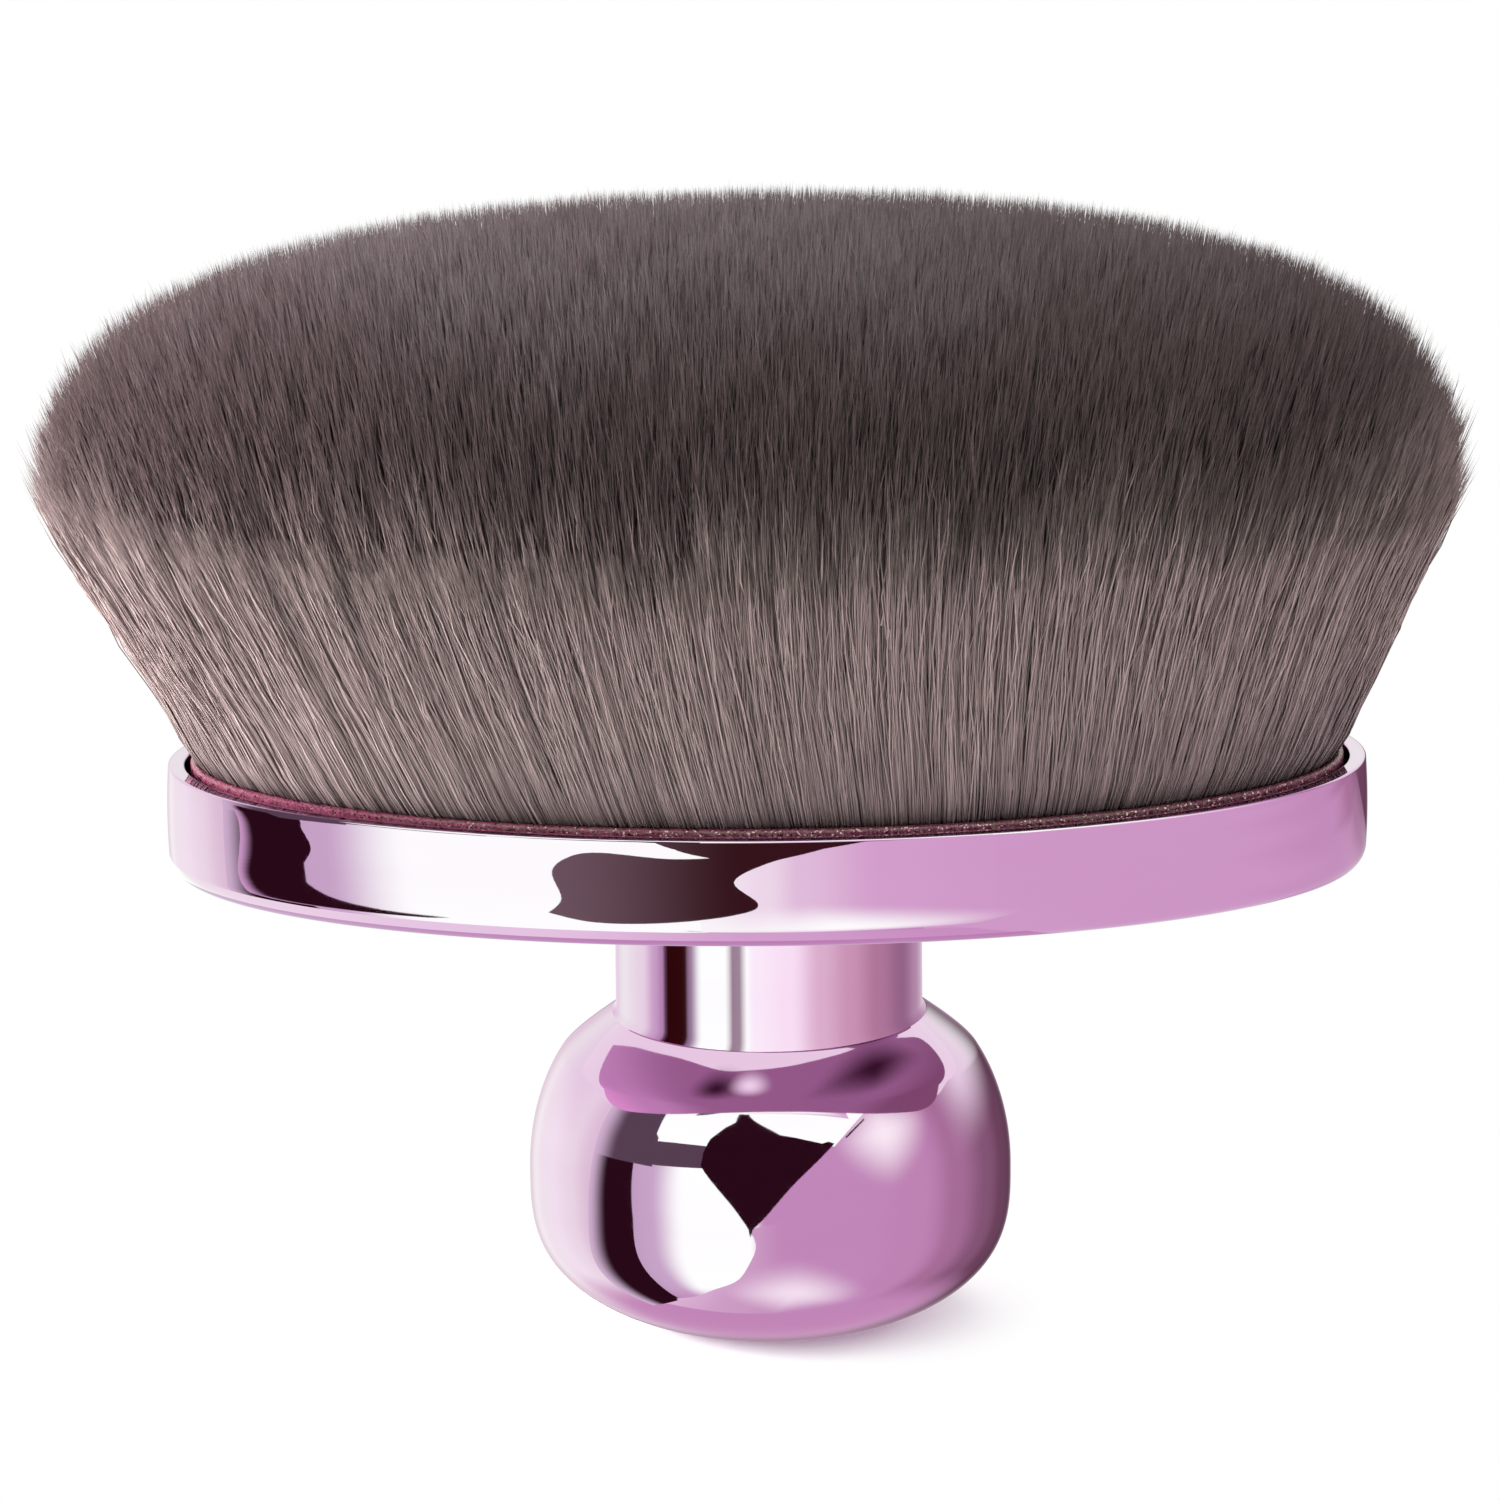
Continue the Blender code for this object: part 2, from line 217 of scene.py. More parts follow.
class Polish(SharedGroup):
    """Roughness and fine relief of a polished or moulded skin: soft clouding with faint marks.

    Attributes:
        finer: How many times finer the marks are than the clouds.
        shares: Shares of the clouds and of the marks in the roughness.
    """

    finer: float = 14.0
    shares: tuple = (0.7, 0.3)

    def wire(self, graph: Graph, given: bpy.types.bpy_prop_collection) -> dict:
        """Wires broad clouds and fine marks.

        Args:
            graph: The group's graph.
            given: Its inputs.

        Returns:
            Its outputs by name.
        """
        spread = graph.vector("MULTIPLY", given["Vector"], given["Stretch"])
        broad = graph.add("ShaderNodeTexNoise", {"Vector": spread, "Scale": given["Scale"],
                                                 "Detail": 3.0}).outputs[0]
        fine_scale = graph.math("MULTIPLY", given["Scale"], self.finer)
        fine = graph.add("ShaderNodeTexNoise", {"Vector": spread, "Scale": fine_scale,
                                                "Detail": 2.0}).outputs[0]
        blended = graph.math("ADD", graph.math("MULTIPLY", broad, self.shares[0]),
                             graph.math("MULTIPLY", fine, self.shares[1]))
        roughness = graph.remap(blended, 0.35, 0.65, given["Smoothest"], given["Roughest"])
        return {"Roughness": roughness, "Height": fine}


class Flake(SharedGroup):
    """Metal flake under lacquer: small facets, each with its own tone and tilt."""

    def wire(self, graph: Graph, given: bpy.types.bpy_prop_collection) -> dict:
        """Wires the facets.

        Args:
            graph: The group's graph.
            given: Its inputs.

        Returns:
            Its outputs by name.
        """
        facets = graph.add("ShaderNodeTexVoronoi", {"Vector": given["Vector"],
                                                    "Scale": given["Facets"]}).outputs["Color"]
        spread = graph.vector("SUBTRACT", facets, (0.5, 0.5, 0.5))
        tilt = graph.add("ShaderNodeVectorMath", {0: spread, "Scale": given["Tilt"]},
                         operation="SCALE").outputs[0]
        facing = graph.add("ShaderNodeNewGeometry").outputs["Normal"]
        normal = graph.vector("NORMALIZE", graph.vector("ADD", facing, tilt))
        pick = graph.add("ShaderNodeSeparateColor", {0: facets}).outputs[0]
        mask = graph.math("LESS_THAN", pick, given["Share"])
        tone = graph.mix(mask, given["Base"], given["Glint"])
        return {"Tone": tone, "Mask": mask, "Normal": normal}


class DyedFibre(SharedGroup):
    """Colour of a dyed fibre: pale up to an uneven edge, dark above it, each fibre its own shade.

    The map's U picks the fibre and its V is the height above the roots. Low down, near the roots, the
    colour is darkened as painted shade.

    Attributes:
        rooted_up_to: Height at which the painted shade near the roots has faded out.
        tip_light_from: Height at which the painted light towards the tips starts.
        roughness: Roughness of the smoothest fibre and of the roughest.
    """

    rooted_up_to: float = 0.25
    tip_light_from: float = 0.82
    roughness: tuple = (0.38, 0.56)

    def wire(self, graph: Graph, given: bpy.types.bpy_prop_collection) -> dict:
        """Wires the dye along a fibre and its shade.

        Args:
            graph: The group's graph.
            given: Its inputs.

        Returns:
            Its outputs by name.
        """
        parts = graph.add("ShaderNodeSeparateXYZ", {0: given["Map"]}).outputs
        column = graph.math("FLOOR", graph.math("MULTIPLY", parts[0], float(MAP_COLUMNS)))
        chance = graph.add("ShaderNodeTexWhiteNoise", {"W": column}, noise_dimensions="1D").outputs
        shift = graph.math("MULTIPLY", graph.math("SUBTRACT", chance["Value"], 0.5),
                           given["Unevenness"])
        height = graph.math("ADD", parts[1], shift)
        along = graph.math("DIVIDE", graph.math("SUBTRACT", height, given["Edge"]), given["Fade"])
        dyed = graph.remap(along, -1.0, 1.0)
        # Painted shade: the pale fibres darken towards their roots, just above the cup.
        rooted = graph.remap(parts[1], 0.0, self.rooted_up_to)
        pale = graph.mix(rooted, given["Root"], given["Pale"])
        # Painted light: the dark fibres lighten towards the dome's top, as if lit more from above.
        tip_lit = graph.remap(height, self.tip_light_from, 1.0)
        dark = graph.mix(tip_lit, given["Dark"], given["Tip"])
        tone = graph.mix(dyed, pale, dark)
        reach = graph.math("MULTIPLY", graph.math("ADD", dyed, 0.5), given["Spread"])
        low, high = graph.math("SUBTRACT", 1.0, reach), graph.math("ADD", 1.0, reach)
        other = graph.add("ShaderNodeSeparateColor", {0: chance["Color"]}).outputs
        shade = graph.add("ShaderNodeMapRange", {0: other[1], 3: low, 4: high}).outputs[0]
        value = graph.add("ShaderNodeCombineColor", {0: shade, 1: shade, 2: shade}).outputs[0]
        smooth, rough = self.roughness
        varied = graph.add("ShaderNodeMapRange", {0: other[2], 3: smooth, 4: rough}).outputs[0]
        return {"Tone": graph.mix(1.0, tone, value, "MULTIPLY"), "Roughness": varied}


MOTTLE = Mottle(
    "mottle",
    {"Vector": Kind.VECTOR, "Stretch": Kind.VECTOR, "Scale": Kind.VALUE, "Tone A": Kind.TONE,
     "Tone B": Kind.TONE},
    {"Tone": Kind.TONE})
POLISH = Polish(
    "polish",
    {"Vector": Kind.VECTOR, "Stretch": Kind.VECTOR, "Scale": Kind.VALUE,
     "Smoothest": Kind.VALUE, "Roughest": Kind.VALUE},
    {"Roughness": Kind.VALUE, "Height": Kind.VALUE})
FLAKE = Flake(
    "flake",
    {"Vector": Kind.VECTOR, "Facets": Kind.VALUE, "Tilt": Kind.VALUE, "Share": Kind.VALUE,
     "Base": Kind.TONE, "Glint": Kind.TONE},
    {"Tone": Kind.TONE, "Mask": Kind.VALUE, "Normal": Kind.VECTOR})
DYED_FIBRE = DyedFibre(
    "dyed_fibre",
    {"Map": Kind.VECTOR, "Root": Kind.TONE, "Pale": Kind.TONE, "Dark": Kind.TONE,
     "Tip": Kind.TONE, "Edge": Kind.VALUE, "Fade": Kind.VALUE, "Unevenness": Kind.VALUE,
     "Spread": Kind.VALUE},
    {"Tone": Kind.TONE, "Roughness": Kind.VALUE})


# Finishes


def new_material(name: str) -> tuple[bpy.types.Material, Graph]:
    """Starts a material with an empty graph.

    Args:
        name: Name of the material.

    Returns:
        The material and its graph.
    """
    made = bpy.data.materials.new(name)
    made.use_nodes = True
    return made, Graph(made.node_tree)


@dataclass(frozen=True)
class Finish:
    """A finish of the brush, made once as a material.

    Attributes:
        name: Name of the material.
    """

    name: str

    def material(self) -> bpy.types.Material:
        """Makes the material, or finds it if it is made.

        Returns:
            The material.
        """
        found = bpy.data.materials.get(self.name)
        if found:
            return found
        made, graph = new_material(self.name)
        shader = graph.add("ShaderNodeBsdfPrincipled", self.looks(graph))
        graph.add("ShaderNodeOutputMaterial", {"Surface": shader.outputs[0]})
        return made

    def looks(self, graph: Graph) -> dict:
        """Wires the finish, and gives the inputs of its shader by name."""
        raise NotImplementedError


@dataclass(frozen=True)
class SurfaceFinish(Finish):
    """A hard surface: plated, moulded, turned or cast.

    Attributes:
        tone: Colour, as linear values.
        clouded: Second colour, that soft clouds of the first turn to.
        smoothest: Lowest roughness.
        roughest: Highest roughness.
        metallic: 1 for metal and 0 for plastic and resin.
        cloud_scale: Clouds to the metre.
        stretch: How much finer the marks are along each axis.
        relief: Height of the fine relief, in metres.
    """

    tone: tuple
    clouded: tuple
    smoothest: float
    roughest: float
    metallic: float = 0.0
    cloud_scale: float = 60.0
    stretch: tuple = (1.0, 1.0, 1.0)
    relief: float = 0.002 * MM

    def looks(self, graph: Graph) -> dict:
        """Wires clouds, polish marks and fine relief.

        Args:
            graph: The material's graph.

        Returns:
            The inputs of the shader by name.
        """
        place = graph.add("ShaderNodeTexCoord").outputs["Object"]
        tones = MOTTLE.place(graph, {
            "Vector": place, "Stretch": self.stretch, "Scale": self.cloud_scale,
            "Tone A": self.tone, "Tone B": self.clouded,
        })
        marks = POLISH.place(graph, {
            "Vector": place, "Stretch": self.stretch, "Scale": self.cloud_scale * 2.0,
            "Smoothest": self.smoothest, "Roughest": self.roughest,
        })
        bump = graph.add("ShaderNodeBump", {"Distance": self.relief, "Strength": 1.0,
                                            "Height": marks["Height"]}).outputs[0]
        return {"Base Color": tones["Tone"], "Roughness": marks["Roughness"], "Normal": bump,
                "Metallic": self.metallic}


@dataclass(frozen=True)
class FlakeFinish(Finish):
    """Dark lacquer with fine metal flake.

    Attributes:
        base: Colour of the lacquer.
        glint: Colour of a flake that catches the light.
        facets: Flakes to the metre.
        share: Share of the flakes that glint.
        tilt: How far the flakes are tilted.
        dull: Roughness between the glints.
        bright: Roughness of a glint.
        coat: Weight and roughness of the clear lacquer.
    """

    base: tuple
    glint: tuple
    facets: float = 11000.0
    share: float = 0.17
    tilt: float = 0.7
    dull: float = 0.42
    bright: float = 0.24
    coat: tuple = (0.3, 0.08)

    def looks(self, graph: Graph) -> dict:
        """Wires the flakes.

        Args:
            graph: The material's graph.

        Returns:
            The inputs of the shader by name.
        """
        place = graph.add("ShaderNodeTexCoord").outputs["Object"]
        flakes = FLAKE.place(graph, {
            "Vector": place, "Facets": self.facets, "Tilt": self.tilt, "Share": self.share,
            "Base": self.base, "Glint": self.glint,
        })
        rough = graph.remap(flakes["Mask"], 0.0, 1.0, self.dull, self.bright)
        return {"Base Color": flakes["Tone"], "Roughness": rough, "Metallic": flakes["Mask"],
                "Normal": flakes["Normal"], "Coat Weight": self.coat[0],
                "Coat Roughness": self.coat[1]}


@dataclass(frozen=True)
class FibreFinish(Finish):
    """Two-tone synthetic fibre.

    Attributes:
        root: Colour at the roots: painted shade, darker just above the cup.
        pale: Colour of the lower part.
        dark: Colour above the dyed edge.
        tip: Colour towards the highest tips: painted light, the dome's top lit more than the flanks.
        edge: Height of the dyed edge, as a share of the tuft's height.
        fade: Half the height over which the dye fades in, as such a share.
        unevenness: How far the edge wanders from fibre to fibre, as such a share.
        spread: How much lighter or darker one fibre is than the next, halfway up the dyed edge.
        shine: Level of its reflection.
        shine_tint: Tint of its reflection.
    """

    root: tuple
    pale: tuple
    dark: tuple
    tip: tuple
    edge: float = 0.56
    fade: float = 0.14
    unevenness: float = 0.14
    spread: float = 0.34
    shine: float = 0.35
    shine_tint: tuple = (1.0, 0.55, 0.84, 1.0)

    def looks(self, graph: Graph) -> dict:
        """Wires the dyed fibre's colour and roughness.

        Args:
            graph: The material's graph.

        Returns:
            The inputs of the shader by name.
        """
        own_map = graph.add("ShaderNodeUVMap", uv_map=MAP_NAME).outputs[0]
        fibre = DYED_FIBRE.place(graph, {
            "Map": own_map, "Root": self.root, "Pale": self.pale, "Dark": self.dark,
            "Tip": self.tip, "Edge": self.edge, "Fade": self.fade,
            "Unevenness": self.unevenness, "Spread": self.spread,
        })
        return {"Base Color": fibre["Tone"], "Roughness": fibre["Roughness"],
                "Specular IOR Level": self.shine, "Specular Tint": self.shine_tint}


PINK_CHROME = SurfaceFinish(
    "pink_plating", (0.72, 0.35, 0.64, 1.0), (0.70, 0.33, 0.62, 1.0), 0.015, 0.05,
    metallic=1.0, cloud_scale=40.0, stretch=(0.4, 0.4, 3.0), relief=0.0003 * MM)
MAUVE_FLAKE = FlakeFinish("mauve_flake", linear(98, 42, 63), linear(190, 118, 146))
# Colours: root is painted shade above the cup, pale and dark are the two dyes, and tip is painted
# light on the dome's top.
TUFT_FIBRE = FibreFinish(
    "dyed_bristle", linear(116, 101, 101), linear(140, 123, 121), linear(74, 60, 61),
    linear(90, 79, 82))
# The core's colours are darker copies of the fibre's: painted shade for the inside of the tuft.
CORE_FIBRE = FibreFinish(
    "shaded_bristle", linear(78, 66, 67), linear(118, 102, 102), linear(56, 43, 45),
    linear(70, 60, 62))
SET_RESIN = SurfaceFinish("set_resin", linear(196, 188, 176), linear(182, 170, 152), 0.12, 0.3)
ZINC_STEEL = SurfaceFinish(
    "zinc_plating", linear(168, 170, 174), linear(150, 152, 158), 0.22, 0.4, metallic=1.0,
    cloud_scale=120.0, stretch=(1.0, 1.0, 12.0), relief=0.004 * MM)
TURNED_BRASS = SurfaceFinish(
    "turned_brass", linear(196, 160, 92), linear(176, 140, 76), 0.2, 0.36, metallic=1.0,
    cloud_scale=120.0, stretch=(1.0, 1.0, 12.0), relief=0.004 * MM)
CAP_PLASTIC = SurfaceFinish(
    "satin_plastic", linear(176, 122, 166), linear(168, 114, 158), 0.34, 0.5,
    cloud_scale=150.0, relief=0.01 * MM)


# Shapes


@dataclass(frozen=True)
class Ring:
    """One oval section of a piece: its half length, its half width and its height."""

    half_x: float
    half_y: float
    z: float


def round_ring(radius: float, z: float) -> Ring:
    """A ring of a turned piece."""
    return Ring(radius, radius, z)


def extruded(shape: bmesh.types.BMesh, edges: list) -> tuple[list, list]:
    """Extrudes edges in place.

    Args:
        shape: The shape they belong to.
        edges: The edges.

    Returns:
        The new points and the new edges.
    """
    made = bmesh.ops.extrude_edge_only(shape, edges=edges)["geom"]
    return ([item for item in made if isinstance(item, bmesh.types.BMVert)],
            [item for item in made if isinstance(item, bmesh.types.BMEdge)])


def loft(rings: list[Ring], segments: int, closed_loop: bool) -> bmesh.types.BMesh:
    """Skins a run of oval rings, each extruded from the last one.

    Args:
        rings: The rings, in order along the outline.
        segments: Points round each ring.
        closed_loop: True if the outline ends where it starts, as round a hole.

    Returns:
        The closed shape.
    """
    shape = bmesh.new()
    verts = bmesh.ops.create_circle(shape, radius=1.0, segments=segments)["verts"]
    edges = shape.edges[:]
    first = rings[0]
    bmesh.ops.scale(shape, vec=(first.half_x, first.half_y, 1.0), verts=verts)
    bmesh.ops.translate(shape, vec=(0.0, 0.0, first.z), verts=verts)
    steps = list(zip(rings, rings[1:]))
    if closed_loop:
        steps.append((rings[-1], rings[0]))
    for ring, following in steps:
        verts, edges = extruded(shape, edges)
        grow = (following.half_x / ring.half_x, following.half_y / ring.half_y, 1.0)
        bmesh.ops.scale(shape, vec=grow, verts=verts)
        bmesh.ops.translate(shape, vec=(0.0, 0.0, following.z - ring.z), verts=verts)
    if closed_loop:
        bmesh.ops.remove_doubles(shape, verts=shape.verts, dist=MERGE_DISTANCE)
    else:
        bmesh.ops.holes_fill(shape, edges=shape.edges)
    return shape


def mesh_of(name: str, shape: bmesh.types.BMesh) -> bpy.types.Mesh:
    """Turns a shape into a mesh.

    Args:
        name: Name of the mesh.
        shape: The shape, which is used up.

    Returns:
        The mesh.
    """
    mesh = bpy.data.meshes.new(name)
    shape.to_mesh(mesh)
    shape.free()
    return mesh


def solid_mesh(shape: bmesh.types.BMesh) -> bpy.types.Mesh:
    """Turns a closed shape into a smooth mesh with its faces outwards.

    Args:
        shape: The shape, which is used up.

    Returns:
        The mesh.
    """
    bmesh.ops.recalc_face_normals(shape, faces=shape.faces)
    mesh = mesh_of("piece", shape)
    mesh.shade_smooth()
    mesh.set_sharp_from_angle(angle=SMOOTH_ANGLE)
    return mesh


def stand(name: str, data: bpy.types.ID) -> bpy.types.Object:
    """Makes an object of a mesh, a lamp or a camera, and puts it in the scene.

    Args:
        name: Name of the object.
        data: What it is made of.

    Returns:
        The object.
    """
    made = bpy.data.objects.new(name, data)
    bpy.context.scene.collection.objects.link(made)
    return made


def finish_piece(name: str, mesh: bpy.types.Mesh, finish: Finish, slot: str,
                 *nodes: str) -> bpy.types.Object:
    """Makes a piece of the brush from its mesh.

    Args:
        name: Name of the piece.
        mesh: Its mesh, in place.
        finish: Its finish.
        slot: Material slot of the record that the piece stands for; not used.
        nodes: Nodes of the frame that it stands for.

    Returns:
        The piece.
    """
    mesh.name = name
    mesh.materials.append(finish.material())
    piece = stand(name, mesh)
    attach(piece, "root")
    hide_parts(*nodes)
    log.info("%s: %d faces, %s", name, len(mesh.polygons), finish.name)
    return piece


# Handle


@dataclass
class HandleKnob:
    """Plated knob turned in one piece with its neck.

    Sizes are the frame's own: a full belly, a rounder shoulder and a straight neck.

    Attributes:
        flat_from: Share of the shoulder's rise at which it starts to level out.
        slope_step: Share of the rise over which the shoulder's slope is read there.
        foot_z: Height at which the shoulder's line would meet the neck.
        foot_slope: Slope of that line in degrees.
        fillet: Radius of the fillet between the two.
        belly_fullness: Fullness of the belly along its height and across its radius.
        shoulder_fullness: The same of the shoulder.
    """

    knob_radius: float = 12.8 * MM
    base_radius: float = 6.1 * MM
    equator_z: float = 8.1 * MM
    shoulder_rise: float = 8.3 * MM
    neck_radius: float = 8.15 * MM
    neck_top: float = 24.1 * MM
    flat_from: float = 0.735
    slope_step: float = 0.001
    foot_z: float = 16.7 * MM
    foot_slope: float = 36.0
    fillet: float = 0.7 * MM
    core_radius: float = 5.0 * MM
    core_depth: float = 11.6 * MM
    socket_radius: float = 6.0 * MM
    socket_floor: float = 21.7 * MM
    pocket_radius: float = 3.2 * MM
    pocket_floor: float = 16.3 * MM
    air_hole: float = 1.55 * MM
    edge_break: float = 0.3 * MM
    belly_fullness: tuple = (3.2, 1.3)
    shoulder_fullness: tuple = (1.95, 1.8)
    curve_steps: int = 36
    fillet_steps: int = 12
    turns: int = 224

    def swell(self, inner: float, share: float, fullness: tuple) -> float:
        """Radius of the knob at a share of the way from its equator to an end."""
        along, across = fullness
        return inner + (self.knob_radius - inner) * (1.0 - share ** along) ** (1.0 / across)

    def shoulder_point(self, share: float) -> Vector:
        """Radius and height of the shoulder at a share of its rise."""
        radius = self.swell(self.neck_radius, share, self.shoulder_fullness)
        return Vector((radius, 0.0, self.equator_z + self.shoulder_rise * share))

    def foot(self) -> list[Vector]:
        """Levels the shoulder out towards the neck, and rounds it into the neck.

        Returns:
            Points in the XZ plane.
        """
        start = self.shoulder_point(self.flat_from)
        before = self.shoulder_point(self.flat_from - self.slope_step)
        lean = (before.x - start.x) / (start.z - before.z)
        upright, slope = math.pi / 2.0, math.radians(self.foot_slope)
        reach = self.fillet * math.tan((upright - slope) / 2.0)
        middle = Vector((self.neck_radius + self.fillet, 0.0, self.foot_z + reach))
        turns = (slope + (upright - slope) * step / self.fillet_steps
                 for step in range(self.fillet_steps + 1))
        round_off = [middle - self.fillet * Vector((math.sin(turn), 0.0, math.cos(turn)))
                     for turn in turns]
        end, fall = round_off[0], math.tan(slope)
        climb = (end.z - start.z - fall * (start.x - end.x)) / (1.0 - fall * lean)
        corner = Vector((start.x - lean * climb, 0.0, start.z + climb))
        shares = (step / self.curve_steps for step in range(self.curve_steps))
        return [start.lerp(corner, share).lerp(corner.lerp(end, share), share)
                for share in shares] + round_off

    def outline(self) -> list[Vector]:
        """Outline of the knob: up its outside, then down through its socket and core.

        Returns:
            Points in the XZ plane.
        """
        quarter, last = math.pi / 2.0, math.asin(self.flat_from)
        belly, shoulder = [], []
        for step in range(self.curve_steps):
            share = math.sin(quarter * (1.0 - step / self.curve_steps))
            radius = self.swell(self.base_radius, share, self.belly_fullness)
            belly.append(Vector((radius, 0.0, self.equator_z * (1.0 - share))))
            shoulder.append(self.shoulder_point(math.sin(last * step / self.curve_steps)))
        inside = (
            (self.neck_radius, self.neck_top - self.edge_break),
            (self.neck_radius - self.edge_break, self.neck_top),
            (self.socket_radius, self.neck_top),
            (self.socket_radius, self.socket_floor),
            (self.pocket_radius, self.socket_floor),
            (self.pocket_radius, self.pocket_floor),
            (self.air_hole, self.pocket_floor),
            (self.air_hole, self.core_depth),
            (self.core_radius, self.core_depth),
            (self.core_radius, 0.0),
        )
        inner = [Vector((radius, 0.0, z)) for radius, z in inside]
        return belly + shoulder + self.foot() + inner

    def build(self) -> bpy.types.Object:
        """Turns the knob.

        Returns:
            The piece.
        """
        shape = bmesh.new()
        points = [shape.verts.new(point) for point in self.outline()]
        edges = [shape.edges.new(pair) for pair in zip(points, points[1:] + points[:1])]
        bmesh.ops.spin(shape, geom=points + edges, cent=(0.0, 0.0, 0.0), axis=(0.0, 0.0, 1.0),
                       angle=math.tau, steps=self.turns, use_merge=True)
        bmesh.ops.remove_doubles(shape, verts=shape.verts, dist=MERGE_DISTANCE)
        return finish_piece("handle_knob_plated", solid_mesh(shape), PINK_CHROME,
                            "pink_chrome", "handle_knob")


# Oval head


@dataclass
class OvalHead:
    """Plated oval tray, and the thin flaked cup inside it.

    Rings are drawn in from the tray's outer edge. The wall is very slightly crowned, as a
    moulded wall is, so that what it mirrors curves from its lip to its lower edge.
    """

    half_length: float = 31.75 * MM
    half_width: float = 16.6 * MM
    underside_z: float = 24.4 * MM
    rim_z: float = 30.4 * MM
    wall: float = 0.9 * MM
    floor: float = 1.6 * MM
    fillet: float = 1.2 * MM
    lip_round: float = 0.14 * MM
    crown: float = 0.07 * MM
    wall_steps: int = 14
    corner_steps: int = 10
    seat_gap: float = 0.3 * MM
    edge_break: float = 0.3 * MM
    seat_radius: float = 3.0 * MM
    seat_z: float = 23.6 * MM
    hole_radius: float = 1.55 * MM
    spigot_radius: float = 5.7 * MM
    spigot_bottom: float = 22.0 * MM
    cup_wall: float = 0.45 * MM
    cup_floor: float = 0.8 * MM
    cup_proud: float = 0.26 * MM
    segments: int = 288
    lip_steps: int = 5
    bead_steps: int = 12

    def ring(self, inset: float, z: float) -> Ring:
        """A ring of the head, drawn in from the tray's outer edge."""
        return Ring(self.half_length - inset, self.half_width - inset, z)

    def arc(self, inset: float, z: float, radius: float, start: float, end: float,
            steps: int) -> list[Ring]:
        """Rings round a corner, from angle to angle in degrees; 0 points outwards and 90 up."""
        angles = [math.radians(start + (end - start) * s / steps) for s in range(steps + 1)]
        return [self.ring(inset - radius * math.cos(a), z + radius * math.sin(a)) for a in angles]

    def crowned_wall(self, low: float, high: float) -> list[Ring]:
        """Rings up the outer wall, which stands out a little at half its height.

        Args:
            low: Height of its lower end.
            high: Height of its upper end.

        Returns:
            The rings between the two ends.
        """
        rings = []
        for step in range(1, self.wall_steps):
            share = 2.0 * step / self.wall_steps - 1.0
            z = low + (high - low) * step / self.wall_steps
            rings.append(self.ring(self.crown * (share * share - 1.0), z))
        return rings

    def build_tray(self) -> bpy.types.Object:
        """Makes the tray: crowned wall, rounded edges, floor, screw seat and spigot.

        Returns:
            The piece.
        """
        foot_z = self.underside_z + self.fillet
        lip_z = self.rim_z - self.lip_round
        inner_lip = self.wall - self.lip_round
        floor_z = self.underside_z + self.floor
        seat = (
            (self.seat_radius, floor_z),
            (self.seat_radius, self.seat_z),
            (self.hole_radius, self.seat_z),
            (self.hole_radius, self.spigot_bottom),
            (self.spigot_radius, self.spigot_bottom),
            (self.spigot_radius, self.underside_z),
        )
        rings = (
            self.arc(self.fillet, foot_z, self.fillet, -90, 0, self.corner_steps)
            + self.crowned_wall(foot_z, lip_z)
            + self.arc(self.lip_round, lip_z, self.lip_round, 0, 90, self.lip_steps)
            + self.arc(inner_lip, lip_z, self.lip_round, 90, 180, self.lip_steps)
            + [self.ring(self.wall, floor_z + self.edge_break),
               self.ring(self.wall + self.edge_break, floor_z)]
            + [round_ring(radius, z) for radius, z in seat]
        )
        mesh = solid_mesh(loft(rings, self.segments, closed_loop=True))
        return finish_piece("rim_tray_plated", mesh, PINK_CHROME, "pink_chrome", "rim_tray")

    def build_cup(self) -> bpy.types.Object:
        """Makes the cup, its wall rounded over into a bead that stands proud of the tray's lip.

        Returns:
            The piece.
        """
        bottom = self.underside_z + self.floor + self.seat_gap
        outer = self.wall + self.seat_gap
        bead = self.cup_wall / 2.0
        bead_z = self.rim_z + self.cup_proud - bead
        rings = (
            [self.ring(outer + self.edge_break, bottom),
             self.ring(outer, bottom + self.edge_break)]
            + self.arc(outer + bead, bead_z, bead, 0, 180, self.bead_steps)
            + [self.ring(outer + self.cup_wall, bottom + self.cup_floor)]
        )
        mesh = solid_mesh(loft(rings, self.segments, closed_loop=False))
        return finish_piece("bristle_cup_flaked", mesh, MAUVE_FLAKE, "mauve_cup", "bristle_cup")


# Bristles


